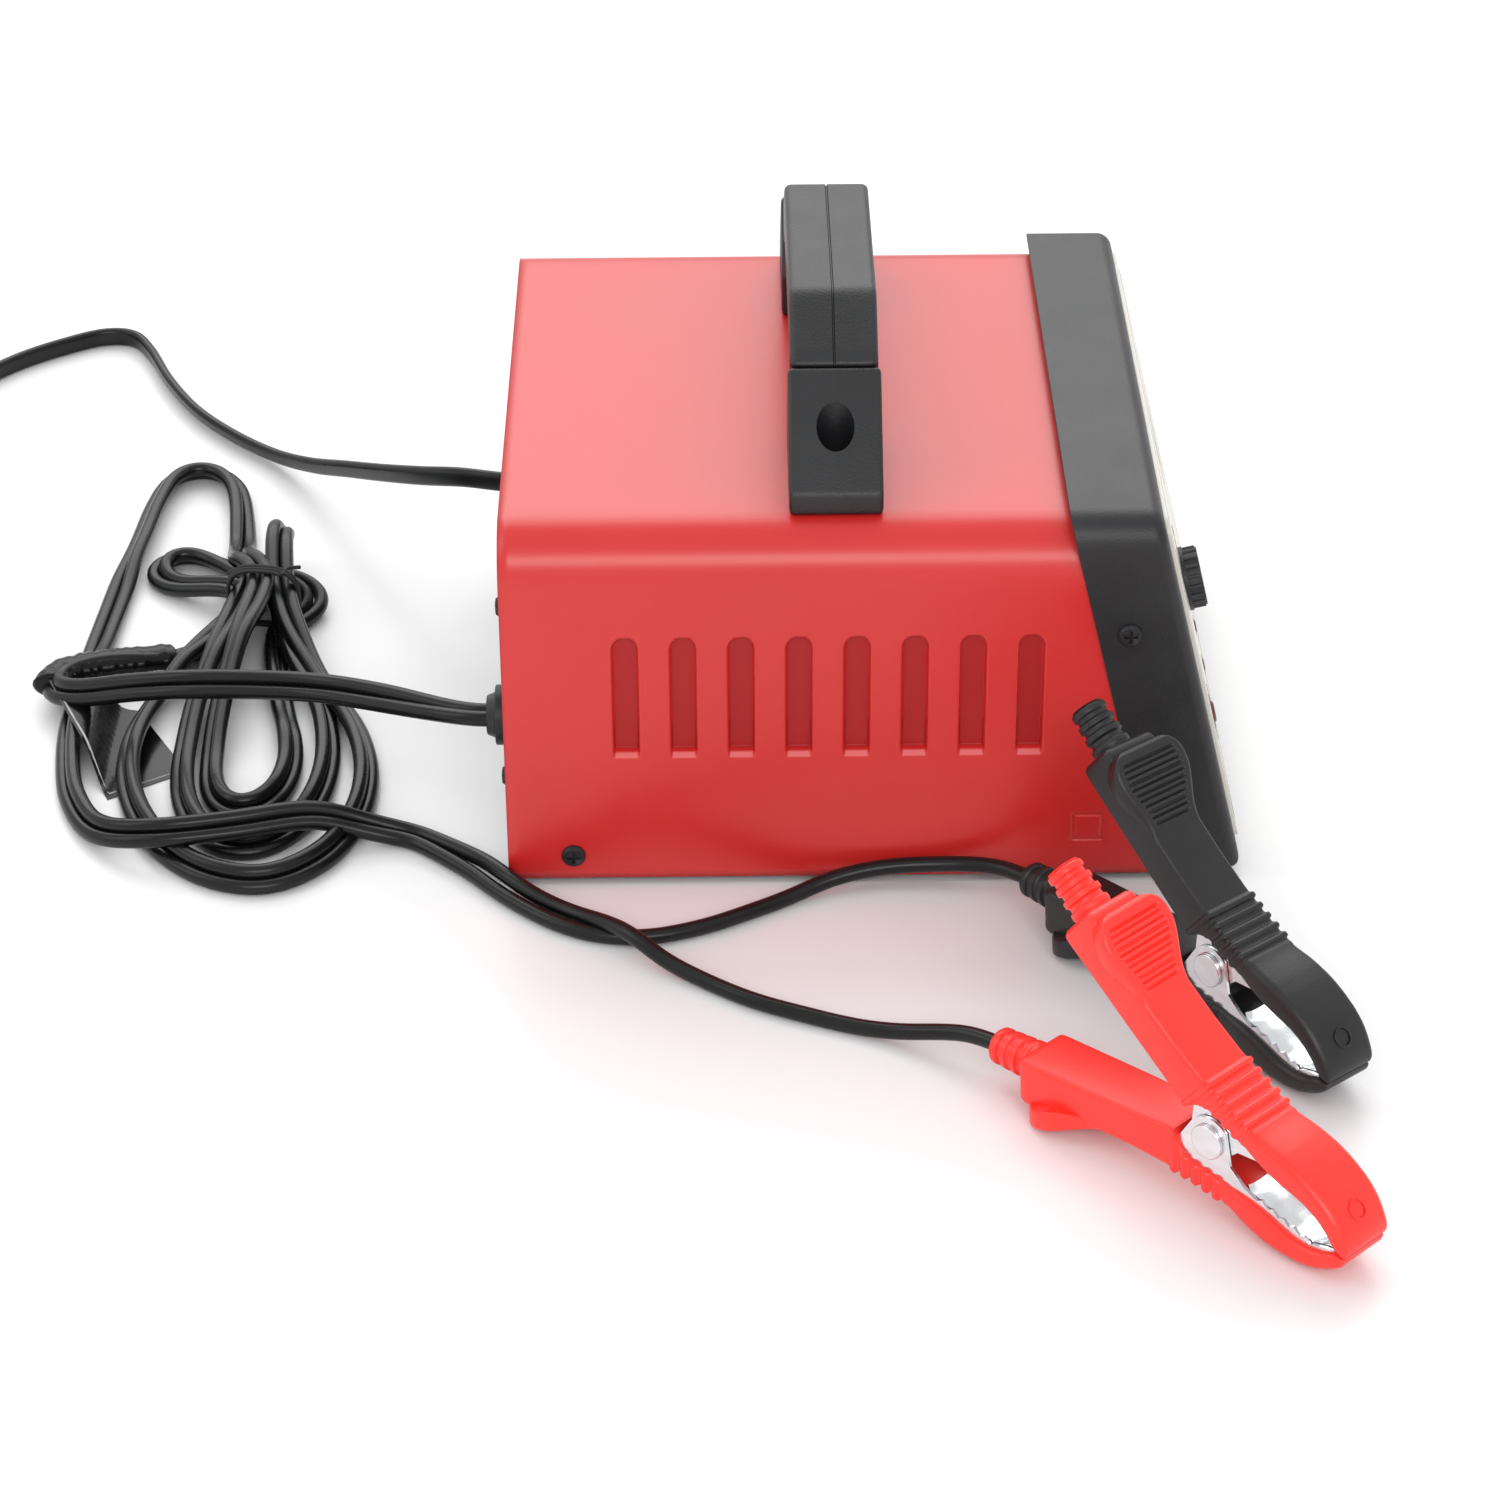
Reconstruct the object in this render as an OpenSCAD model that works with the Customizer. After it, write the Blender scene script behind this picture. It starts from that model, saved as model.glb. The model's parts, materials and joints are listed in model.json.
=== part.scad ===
/* [Case] */
// Length of the cover along its top edge
case_l = 186; // [176:1:196]
// Width across the cover's two side walls
case_w = 231; // [225:1:239]
// Height of the cover
case_h = 129; // [125:1:135]
// Thickness of the sheet steel
sheet_t = 1.2; // [1:0.1:1.5]
// Outer radius of the cover's two long bends
bend_r = 18; // [12:1:22]
// Angle by which the control panel leans back
lean = 13.5; // [10:0.5:16]
// Height of the rubber feet
foot_h = 3; // [2:0.5:5]

/* [Front bezel] */
// Depth of the bezel from front to back
bezel_d = 30; // [26:1:34]
// How far the bezel stands above the cover
bezel_rise = 5; // [4:0.5:8]
// Wall thickness of the bezel
bezel_t = 3; // [2.5:0.5:3.5]
// Outer radius of the bezel's two upper bends
bezel_r = 10; // [8:1:14]

/* [Louvres] */
// Number of louvres in each side wall
louvre_n = 8; // [5:1:8]
// Distance from one louvre to the next
louvre_pitch = 19; // [17:0.5:20]
// Width of one louvre
louvre_w = 8.4; // [6:0.2:10]
// Height of one louvre
louvre_h = 45; // [34:1:50]

/* [Handle] */
// Width of the handle, measured along the case
handle_w = 29; // [26:1:32]
// Height of the grip's top above the cover
handle_h = 54; // [52:1:58]
// Distance across the two handle feet
handle_span = 202; // [196:1:204]

/* [Clamps] */
// Width of a clamp's plastic grip at its neck
clamp_w = 21; // [20:0.5:23]
// Angle between the two grips with the jaws shut
clamp_angle = 41.5; // [41:0.5:43]
// Height of the rivet above the floor
rivet_z = 27.1; // [27:0.1:28]

/* [Cords] */
// Diameter of one conductor of the clamp lead
lead_d = 5.4; // [5:0.2:6]
// Width of the flat mains cord
mains_w = 7.6; // [7:0.2:8]

/* [Hidden] */

$fn = 48;
eps = 0.01;
gap = 0.2;
many = 400;

// Places along the case. X runs to the front, Y away from the DC side, Z up.
bush_out = 7;
panel_run = case_h * tan(lean);
total_l = bush_out + case_l + panel_run + bezel_d;
rear_x = -total_l / 2 + bush_out;
face_x = total_l / 2;
base_z = foot_h;
top_z = base_z + case_h;
side_y = case_w / 2;
black = "#1c1c1e";
red = "#d8342c";
steel = "#c9ccd0";

// X of the cover's front edge at height z above the cover's lower edge.
function joint_x(z) = rear_x + case_l + (case_h - z) * tan(lean);

// ---- helpers ----

// A YZ outline drawn upright and pushed along X.
module along_x(x0, x1) {
    translate([x0, 0, base_z]) rotate([90, 0, 90]) linear_extrude(x1 - x0) children();
}

// The slab between two leaning planes, d0 and d1 in front of the cover's front edge.
module lean_slab(d0, d1) {
    low = -10;
    high = case_h + 30;
    translate([0, many / 2, base_z]) rotate([90, 0, 0]) linear_extrude(many)
        polygon([[joint_x(low) + d0, low], [joint_x(low) + d1, low],
                 [joint_x(high) + d1, high], [joint_x(high) + d0, high]]);
}

// Everything behind the leaning plane that is d in front of the cover's front edge.
module behind_lean(d) {
    lean_slab(-many, d);
}

// Puts a child on the control panel: y across, s up the slope, z out of the panel.
module on_panel(y, s) {
    translate([face_x, 0, base_z]) rotate([0, -lean, 0]) translate([0, y, s]) rotate([0, 90, 0]) children();
}

// An upright outline with two round upper corners.
module arch(w, h, r) {
    translate([-w / 2, 0]) square([w, h - r]);
    translate([-w / 2 + r, h - r - eps]) square([w - 2 * r, r + eps]);
    for (s = [-1, 1]) translate([s * (w / 2 - r), h - r]) circle(r);
}

// A rectangle with four round corners, centred.
module soft_rect(w, h, r) {
    square([w - 2 * r, h], center = true);
    square([w, h - 2 * r], center = true);
    for (x = [-1, 1], y = [-1, 1]) translate([x * (w / 2 - r), y * (h / 2 - r)]) circle(r);
}

// A tube whose flat section w by h follows the route, with n sides.
function unit(v) = v / norm(v);
function heading(p, i) = unit(p[min(i + 1, len(p) - 1)] - p[max(i - 1, 0)]);
function sideways(t) = unit(cross(t, [0, 0, 1]));
function ring(p, i, w, h, n) = [
    for (a = [0 : n - 1])
        p[i] + sideways(heading(p, i)) * (w / 2 * cos(360 * a / n))
            + cross(sideways(heading(p, i)), heading(p, i)) * (h / 2 * sin(360 * a / n))
];
module tube(p, w, h, n = 8) {
    last = len(p) - 1;
    points = [for (i = [0 : last]) each ring(p, i, w, h, n)];
    sides = [for (i = [0 : last - 1], a = [0 : n - 1])
        [i * n + a, i * n + (a + 1) % n, (i + 1) * n + (a + 1) % n, (i + 1) * n + a]];
    start = [for (a = [n - 1 : -1 : 0]) a];
    finish = [for (a = [0 : n - 1]) last * n + a];
    polyhedron(points, concat([start], sides, [finish]), convexity = 8);
}

// ---- sheet-metal case ----

louvre_x = rear_x + 40.6;
louvre_z = base_z + 47;
press = 1.8;

// One pressed louvre on the outside of the near wall, grown by g on each side.
module louvre(i, g, depth) {
    r = louvre_w / 2 + g;
    translate([louvre_x + i * louvre_pitch, -side_y - eps, louvre_z]) {
        translate([-r, 0, -g]) cube([2 * r, depth + eps, louvre_h - louvre_w / 2 + g]);
        translate([0, 0, louvre_h - louvre_w / 2]) rotate([-90, 0, 0]) cylinder(r = r, h = depth + eps);
    }
}

module both_sides() {
    children();
    mirror([0, 1, 0]) children();
}

cover_screw_x = rear_x + 22;
cover_screw_z = base_z + 9;
screw_r = 2;
tab = 10.5;
lip = 4;

module cover() color(red) difference() {
    union() {
        intersection() {
            along_x(rear_x, face_x) difference() {
                arch(case_w, case_h, bend_r);
                translate([0, -eps]) arch(case_w - 2 * sheet_t, case_h - sheet_t + eps, bend_r - sheet_t);
            }
            behind_lean(lip);
        }
        both_sides() for (i = [0 : louvre_n - 1])
            translate([0, sheet_t / 2, 0]) louvre(i, sheet_t, press + sheet_t / 2);
    }
    both_sides() for (i = [0 : louvre_n - 1]) {
        louvre(i, 0, press);
        translate([louvre_x + i * louvre_pitch - louvre_w / 2, -side_y - eps, louvre_z])
            cube([louvre_w, press + 2 * sheet_t, 2.4]);
    }
    both_sides() {
        translate([cover_screw_x, -side_y - 1, cover_screw_z]) rotate([-90, 0, 0]) cylinder(r = screw_r, h = 4);
        translate([rear_x + 189, -side_y - eps, base_z + 13]) difference() {
            cube([tab, 0.5, tab]);
            translate([0.8, -1, 0.8]) cube([tab - 1.6, 3, tab - 1.6]);
        }
    }
    for (s = [-1, 1]) translate([handle_x, s * handle_hole_y, top_z - 3]) cylinder(r = screw_r + 0.5, h = 6);
}

tray_w = case_w - 2 * sheet_t - 2 * gap;
tray_t = 1.5;
flange_h = 18;

module base_tray() color("#2a2a2c") difference() {
    union() {
        intersection() {
            along_x(rear_x + 1.9, face_x) difference() {
                translate([-tray_w / 2, 0]) square([tray_w, flange_h]);
                translate([-tray_w / 2 + tray_t, tray_t]) square([tray_w - 2 * tray_t, flange_h]);
            }
            behind_lean(2);
        }
        intersection() {
            along_x(rear_x, face_x) translate([-tray_w / 2, 0]) square([tray_w, 12]);
            lean_slab(0.5, 2);
        }
    }
    for (x = [-70, -50, -30, 30, 50], s = [-1, 1])
        translate([x, s * 62, base_z - 1]) translate([-2.5, -20, 0]) cube([5, 40, 4]);
    both_sides() translate([cover_screw_x, -side_y, cover_screw_z]) rotate([-90, 0, 0])
        cylinder(r = screw_r, h = 6);
    for (x = foot_xs, y = foot_ys) translate([x, y, base_z - 1]) cylinder(r = screw_r, h = 4);
}

exit_y = 85;
exit_z = base_z + 46;
bush_r = 7.8;
rear_screws = [[98, 95], [98, 30], [-98, 95], [-98, 30]];

module rear_panel() color("#2a2a2c") difference() {
    union() {
        along_x(rear_x + 0.1, rear_x + 1.7) translate([0, 1.6])
            arch(case_w - 2 * sheet_t - 2 * gap, case_h - sheet_t - gap - 1.6, bend_r - sheet_t - gap);
        along_x(rear_x + 1.7 - eps, rear_x + 12) translate([-90, case_h - sheet_t - gap - 1.5])
            square([180, 1.5]);
    }
    for (s = [-1, 1]) translate([rear_x - 1, s * exit_y, exit_z]) rotate([0, 90, 0])
        cylinder(r = bush_r, h = 5);
    for (p = rear_screws) translate([rear_x - 1, p[0], base_z + p[1]]) rotate([0, 90, 0])
        cylinder(r = screw_r, h = 5);
    for (i = [0 : 8]) translate([rear_x - 1, -24 + i * 6 - 1.5, base_z + 40]) cube([5, 3, 50]);
}

foot_xs = [rear_x + 20, rear_x + 190];
foot_ys = [-95, 95];

module rubber_feet() color("#151515") for (x = foot_xs, y = foot_ys) translate([x, y, 0]) difference() {
    cylinder(r1 = 8, r2 = 9, h = foot_h);
    translate([0, 0, -1]) cylinder(r = 4, h = 2.2);
    cylinder(r = screw_r, h = foot_h + 1);
}

// One pan-head screw pointing down -Z, its head's seat at z = 0.
module pan_screw(len = 8, head = 4) {
    difference() {
        rotate_extrude() polygon([[0, -eps], [head, -eps], [head, 0.9], [head * 0.8, 1.9], [0, 2.3]]);
        for (a = [0, 90]) rotate(a) translate([-0.5, -head * 0.55, 1]) cube([1, head * 1.1, 3]);
    }
    translate([0, 0, -len]) cylinder(r = screw_r, h = len);
}

bezel_screw = [rear_x + 205.5, base_z + 92.5];

module case_screws() color("#202022") {
    both_sides() translate([cover_screw_x, -side_y, cover_screw_z]) rotate([90, 0, 0]) pan_screw(5);
    both_sides() translate([bezel_screw[0], -bezel_w / 2, bezel_screw[1]]) rotate([90, 0, 0]) pan_screw(6);
    for (p = rear_screws) translate([rear_x + 0.1, p[0], base_z + p[1]]) rotate([0, -90, 0]) pan_screw(5, 3.4);
    for (x = foot_xs, y = foot_ys) translate([x, y, 1.2]) rotate([180, 0, 0])
        translate([0, 0, -1.2 + gap]) pan_screw_low();
}

// The low screw in the recess of a rubber foot, its head's seat at z = 1.
module pan_screw_low() {
    cylinder(r = 3.4, h = 0.9);
    translate([0, 0, -4.6]) cylinder(r = screw_r, h = 4.6 + eps);
}

// ---- front bezel and control panel ----

bezel_w = case_w + 2;
bezel_h = case_h + bezel_rise;
bezel_low = 1.5;
opening_w = bezel_w - 18;
slope_h = case_h / cos(lean);
plate_low = 7;
plate_high = slope_h - 1;
knob_pos = [-53, 80];
knob_r = 10;
knob_h = 7.6;
meter_pos = [32, 84];
led_pos = [[-20, 42], [-20, 26]];
breaker_pos = [-66, 34];

module front_bezel() color(black) difference() {
    intersection() {
        along_x(0, face_x + 10) translate([0, bezel_low]) arch(bezel_w, bezel_h - bezel_low, bezel_r);
        lean_slab(0, bezel_d);
    }
    intersection() {
        along_x(-10, face_x + 10) translate([0, -1 - eps])
            arch(case_w + gap, case_h + 1 + gap, bend_r);
        lean_slab(-1, lip + gap);
    }
    intersection() {
        along_x(-10, face_x + 10) translate([0, 3]) arch(bezel_w - 2 * bezel_t - 2, case_h - 6, bezel_r);
        lean_slab(lip, bezel_d - bezel_t);
    }
    intersection() {
        along_x(-10, face_x + 10) translate([-tray_w / 2 - gap, -2]) square([tray_w + 2 * gap, 16]);
        lean_slab(-1, 2 + gap);
    }
    on_panel(0, (plate_low + plate_high) / 2) translate([0, 0, -10])
        linear_extrude(20) soft_rect(plate_high - plate_low - 12, opening_w - 12, 6);
    on_panel(0, (plate_low + plate_high) / 2) translate([0, 0, -0.8])
        linear_extrude(5) soft_rect(plate_high - plate_low + 0.4, opening_w + 0.4, 6);
    both_sides() translate([bezel_screw[0], -bezel_w / 2 - 1, bezel_screw[1]]) rotate([-90, 0, 0])
        cylinder(r = screw_r, h = 8);
}

meter_w = 66;
meter_h = 46;
shaft_r = 3;
button_r = 5;

module face_plate() color("#e9e4d4") difference() {
    on_panel(0, (plate_low + plate_high) / 2) translate([0, 0, -0.8])
        linear_extrude(2) soft_rect(plate_high - plate_low, opening_w, 6);
    on_panel(meter_pos[0], meter_pos[1]) translate([0, 0, -3]) linear_extrude(8)
        soft_rect(meter_h - 6, meter_w - 6, 2);
    on_panel(knob_pos[0], knob_pos[1]) translate([0, 0, -3]) cylinder(r = shaft_r + 1.5, h = 8);
    for (p = led_pos) on_panel(p[0], p[1]) translate([0, 0, -3]) cylinder(r = 2.55, h = 8);
    on_panel(breaker_pos[0], breaker_pos[1]) translate([0, 0, -3]) cylinder(r = button_r + 1.5, h = 8);
}

meter_back = -17;
needle_z = -4.6;
pivot_drop = 14;

module ammeter_case() color("#202022") on_panel(meter_pos[0], meter_pos[1]) difference() {
    translate([0, 0, meter_back]) linear_extrude(-meter_back - 0.8 - gap) soft_rect(meter_h, meter_w, 3);
    translate([0, 0, meter_back + 1.6]) linear_extrude(20) soft_rect(meter_h - 4, meter_w - 4, 2);
}

module ammeter_dial() color("#f4f2ea") on_panel(meter_pos[0], meter_pos[1]) {
    difference() {
        translate([0, 0, -7.6]) linear_extrude(1) soft_rect(meter_h - 4.4, meter_w - 4.4, 2);
        translate([pivot_drop, 0, -9]) cylinder(r = 2.2, h = 4);
    }
    translate([0, 0, meter_back + 1.6]) linear_extrude(8.4 + eps) soft_rect(16, 30, 2);
}

// The needle turns about a pivot low on the dial and rests on the left.
module ammeter_needle() color("#c22a20") on_panel(meter_pos[0], meter_pos[1]) translate([pivot_drop, 0, 0]) {
    translate([0, 0, -7.4]) cylinder(r = 1.6, h = 3.2);
    translate([0, 0, needle_z]) rotate(48) linear_extrude(0.6)
        polygon([[2.5, 0.9], [2.5, -0.9], [-26, -0.3], [-26, 0.3]]);
}

module ammeter_lens() color("#dfeaf0", 0.4) on_panel(meter_pos[0], meter_pos[1]) {
    translate([0, 0, -2.4]) linear_extrude(3.2) soft_rect(meter_h - 6.4, meter_w - 6.4, 1.8);
}

module selector_knob() color(black) on_panel(knob_pos[0], knob_pos[1]) difference() {
    union() {
        translate([0, 0, 1.4]) cylinder(r = knob_r + 1, h = 1.4);
        translate([0, 0, 2.8 - eps]) cylinder(r = knob_r, h = knob_h - 2.8);
        for (a = [0 : 20 : 339]) rotate(a) translate([knob_r, 0, 2.8 - eps]) cylinder(r = 0.7, h = knob_h - 3.4);
    }
    translate([0, 0, -1]) cylinder(r = shaft_r, h = knob_h - 1);
    translate([-knob_r, -0.8, knob_h - 0.8]) cube([knob_r, 1.6, 2]);
}

module selector_shaft() color(steel) on_panel(knob_pos[0], knob_pos[1]) translate([0, 0, -20])
    cylinder(r = shaft_r, h = 18 + knob_h);

module selector_switch() color("#3a3a3c") on_panel(knob_pos[0], knob_pos[1]) difference() {
    union() {
        translate([0, 0, -22]) linear_extrude(17.6) soft_rect(30, 30, 3);
        translate([0, 0, -5]) cylinder(r = 5.5, h = 1.9);
        for (y = [-9, 0, 9]) translate([-2, y - 2.4, -30]) cube([0.8, 4.8, 9]);
    }
    translate([0, 0, -20.4]) cylinder(r = shaft_r + 0.05, h = 30);
}

module indicator_leds() color("#d04030") for (p = led_pos) on_panel(p[0], p[1]) {
    translate([0, 0, -5]) cylinder(r = 2.5, h = 6.3);
    translate([0, 0, 1.3 - eps]) cylinder(r1 = 2.5, r2 = 1.9, h = 0.4);
    translate([0, 0, -6]) cylinder(r = 3, h = 1 + eps);
}

module breaker_body() color("#2c2c2e") on_panel(breaker_pos[0], breaker_pos[1]) difference() {
    union() {
        translate([0, 0, -34]) linear_extrude(30) soft_rect(22, 16, 2);
        translate([0, 0, -5]) cylinder(r = button_r + 1.3, h = 6.4);
        for (y = [-4, 4]) translate([-3, y - 0.4, -42]) cube([6, 0.8, 8.5]);
    }
    translate([0, 0, -12]) cylinder(r = button_r - 1, h = 30);
}

module breaker_button() color("#c03028") on_panel(breaker_pos[0], breaker_pos[1]) {
    translate([0, 0, -7]) cylinder(r = button_r - 1.06, h = 8.4);
    translate([0, 0, 1.4 - eps]) cylinder(r1 = button_r - 1.06, r2 = button_r - 1.8, h = 0.8);
}

// ---- handle ----

handle_x = rear_x + 110;
handle_hole_y = 84;
half_span = handle_span / 2;
grip_end = 43;
grip_under = handle_h - 20;
foot_in = 50;
joint_top = [69, 38];
joint_low = [56, 24];

// Side view of one foot block, from its outer face to the hand opening.
module foot_outline() polygon([
    [half_span, 0], [half_span, 7.5], joint_top, joint_low, [foot_in, 15], [foot_in, 0]
]);

module handle_foot() color(black) difference() {
    translate([handle_x - handle_w / 2 - 0.8, 0, top_z]) rotate([90, 0, 90])
        linear_extrude(handle_w + 1.6) foot_outline();
    translate([handle_x, handle_hole_y, top_z + 5]) cylinder(r = 6.2, h = 60);
    translate([handle_x, handle_hole_y, top_z - 1]) cylinder(r = 2.6, h = 20);
}
module handle_foot_far() handle_foot();
module handle_foot_near() mirror([0, 1, 0]) handle_foot();

// Side view of the whole grip, from one foot joint to the other.
module grip_outline() {
    right = [joint_low + [-0.3, 0.3], joint_top + [-0.3, 0.3], [grip_end, handle_h]];
    left = [for (i = [2 : -1 : 0]) [-right[i][0], right[i][1]]];
    polygon(concat([[45, grip_under]], right, left, [[-45, grip_under]]));
}

module grip_half(s) color(black) intersection() {
    translate([handle_x - handle_w / 2, 0, top_z]) rotate([90, 0, 90]) linear_extrude(handle_w) grip_outline();
    translate([handle_x + (s > 0 ? 0.05 : -many - 0.05), -many / 2, 0]) cube([many, many, many]);
}
module handle_grip_front() grip_half(1);
module handle_grip_rear() grip_half(-1);

module handle_screws() color(steel) both_sides() translate([handle_x, -handle_hole_y, top_z + 5]) {
    difference() {
        cylinder(r = 4.4, h = 2.6);
        for (a = [0, 90]) rotate(a) translate([-0.6, -2.6, 1.2]) cube([1.2, 5.2, 3]);
    }
    translate([0, 0, -14]) cylinder(r = 2.4, h = 14 + eps);
    translate([0, 0, -12]) cylinder(r = 4.2, h = 3.4, $fn = 6);
}

// ---- parts inside the case ----

core = [70, 60, 62];
core_x = rear_x + 78;
core_z = base_z + tray_t + 3;
window = [14, 34];
leg = 12;

module transformer_core() color("#6c6e72") translate([core_x, 0, core_z]) difference() {
    translate([-core[0] / 2, -core[1] / 2, 0]) cube(core);
    for (s = [-1, 1]) translate([s * (leg + window[0] / 2) - window[0] / 2, -core[1] / 2 - 1, 14])
        cube([window[0], core[1] + 2, window[1]]);
    for (x = [-1, 1], z = [6, core[2] - 6]) translate([x * 30, -core[1] / 2 - 1, z]) rotate([-90, 0, 0])
        cylinder(r = 2.3, h = core[1] + 2);
}

// A square ring around the core's middle leg.
module around_leg(inner, outer, z0, z1) difference() {
    translate([core_x - leg - outer, -core[1] / 2 - outer, core_z + 14 + z0])
        cube([2 * (leg + outer), core[1] + 2 * outer, z1 - z0]);
    translate([core_x - leg - inner, -core[1] / 2 - inner, core_z])
        cube([2 * (leg + inner), core[1] + 2 * inner, core[2]]);
}

module transformer_bobbin() color("#e6dfc8") {
    around_leg(0.2, 1.6, 0.4, window[1] - 0.4);
    around_leg(0.2, window[0] - 0.4, 0.4, 1.8);
    around_leg(0.2, window[0] - 0.4, window[1] - 1.8, window[1] - 0.4);
    around_leg(0.2, window[0] - 0.4, 16, 17.2);
}
module primary_winding() color("#b5652b") around_leg(1.7, window[0] - 1.4, 1.9, 15.9);
module secondary_winding() color("#c77a35") around_leg(1.7, window[0] - 1.4, 17.3, window[1] - 1.9);

module transformer_frame() color("#8c9094") {
    for (x = [-1, 1]) translate([core_x + x * (core[0] / 2 + 1) - 1, -22, core_z - 3]) cube([2, 44, 40]);
    for (x = [-1, 1]) translate([core_x + x * (core[0] / 2 + 8) - 8, -22, core_z - 3]) cube([16, 44, 2]);
    translate([core_x - core[0] / 2 - 2, -22, core_z - 3]) cube([core[0] + 4, 44, 2.9]);
}

module transformer_bolts() color(steel) for (x = [-1, 1], z = [6, core[2] - 6])
    translate([core_x + x * 30, 0, core_z + z]) rotate([90, 0, 0]) {
        translate([0, 0, -36]) cylinder(r = 2, h = 72);
        translate([0, 0, core[1] / 2 + gap]) cylinder(r = 4, h = 3.2, $fn = 6);
        translate([0, 0, -core[1] / 2 - gap - 3.2]) cylinder(r = 4, h = 3.2, $fn = 6);
    }

sink_x = rear_x + 150;
module heat_sink() color("#b8bcc0") translate([sink_x, -70, base_z + tray_t + 0.1]) {
    cube([30, 60, 3]);
    for (i = [0 : 5]) translate([i * 5.4, 0, 3 - eps]) cube([1.6, 60, 24]);
}

module rectifier_diodes() color("#8f9296") for (y = [-52, -32]) translate([rear_x + 132, y, base_z + tray_t]) {
    translate([0, 0, 0.1]) cylinder(r = 8, h = 3, $fn = 6);
    translate([0, 0, 3]) cylinder(r = 6.4, h = 8);
    translate([0, 0, 11 - eps]) cylinder(r = 1.6, h = 8);
}

board = [62, 90, 1.6];
board_at = [rear_x + 128, 12, base_z + tray_t + 8];

module circuit_board() color("#2f6b3c") translate(board_at) difference() {
    cube(board);
    for (x = [5, board[0] - 5], y = [5, board[1] - 5]) translate([x, y, -1]) cylinder(r = 1.7, h = 4);
}

module board_posts() color(steel) translate(board_at) for (x = [5, board[0] - 5], y = [5, board[1] - 5])
    translate([x, y, -8]) {
        cylinder(r = 3, h = 8, $fn = 6);
        cylinder(r = 1.65, h = 11.5);
        translate([0, 0, 9.7]) cylinder(r = 3, h = 2);
    }

module board_parts() color("#30343a") translate(board_at + [0, 0, board[2]]) {
    translate([14, 12, 0]) cube([20, 16, 16]);
    translate([14, 34, 0]) cube([20, 16, 16]);
    for (y = [62, 76]) translate([20, y, 0]) cylinder(r = 5.5, h = 18);
    translate([42, 30, 0]) cube([8, 20, 4]);
    translate([44, 62, 0]) cube([10, 16, 12]);
}

// ---- cord exits ----

// A two-part strain relief in the rear panel, its flange on the outside.
module bushing(side, slot_w, slot_h) color("#141415") translate([rear_x, side * exit_y, exit_z])
    rotate([0, -90, 0]) difference() {
        union() {
            translate([0, 0, -9]) cylinder(r = bush_r - 0.1, h = 9);
            translate([0, 0, -0.1]) cylinder(r = bush_r + 2.4, h = 4.1);
            translate([0, 0, 4 - eps]) cylinder(r1 = bush_r, r2 = 6.6, h = bush_out - 4);
            translate([0, 0, -9]) cylinder(r = bush_r - 1, h = 3);
        }
        linear_extrude(40, center = true)
            soft_rect(slot_w, slot_h, min(slot_w, slot_h) / 2 - 0.02);
    }
module dc_bushing() bushing(-1, lead_d + 0.1, 2 * lead_d + 0.1);
module ac_bushing() bushing(1, mains_w + 0.1, mains_w / 2 + 0.1);

// ---- clamp lead ----

twin = 2 * lead_d;
half = lead_d / 2;
hank_h = 24;

// Centre of the twin lead from the bushing, over the hank, round and back to the hank.
start_route = [
    [-127, -85, 49], [-144, -76, 46], [-166, -57, 40], [-188, -40, 34], [-212, -32, 31], [-236, -28, 29],
    [-258, -18, 22], [-274, -9, 15], [-285, -1, 11], [-289, 9, 9], [-283, 18, 9], [-270, 24, 9],
    [-254, 30, 7], [-241, 38, 7]
];

// Centre of the twin lead from the hank's far end, round the large loop to the split.
run_route = [
    [-222, 80, 19], [-227, 92, 15], [-230, 106, 8], [-232, 122, 3], [-237, 150, 3], [-243, 171, 3],
    [-254, 183, 3], [-264, 172, 3], [-268, 150, 3], [-270, 128, 3], [-273, 100, 3], [-275, 72, 3],
    [-277, 44, 3], [-279, 16, 3], [-280, -12, 3], [-278, -38, 3], [-273, -64, 3], [-261, -87, 4],
    [-240, -98, 8], [-214, -96, 9], [-188, -88, 8], [-170, -86, 4], [-153, -89, 3], [-139, -97.5, 3]
];

red_route = [
    [-138, -95.5, 3], [-130, -106, 5], [-121, -119.5, 7], [-110, -130, 5], [-98, -139, 4.4], [-87, -149, 7],
    [-78, -159, 8.6], [-67, -169, 5], [-53, -179, 3], [-38, -190, 3], [-22, -198, 3], [-6, -205, 3],
    [8, -211, 5], [20, -217, 9], [30, -223, 12], [40, -231.5, 13]
];

black_route = [
    [-142, -100.5, 3], [-134.5, -110, 3], [-125, -122, 3], [-114, -134, 3], [-101, -145, 3], [-88, -151, 3],
    [-72, -152, 3], [-54, -146, 3], [-40, -138, 3], [-26, -129, 3], [-11, -122, 6], [6, -119.5, 8.6],
    [22, -119.5, 9.6], [36, -122, 11], [46, -127, 12.4], [55.5, -136, 13]
];

hank_l = 236;
hank_w = 80;
hank_at = [-215, 2];
tie_y = 64;
tie_w = 32;
tag_w = 33;

module dc_cord_start() color(black) tube(start_route, twin, lead_d, 10);
module dc_cord_run() color(black) tube(run_route, twin, lead_d, 10);
module red_lead() color(black) tube(red_route, lead_d, lead_d, 8);
module black_lead() color(black) tube(black_route, lead_d, lead_d, 8);

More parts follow.
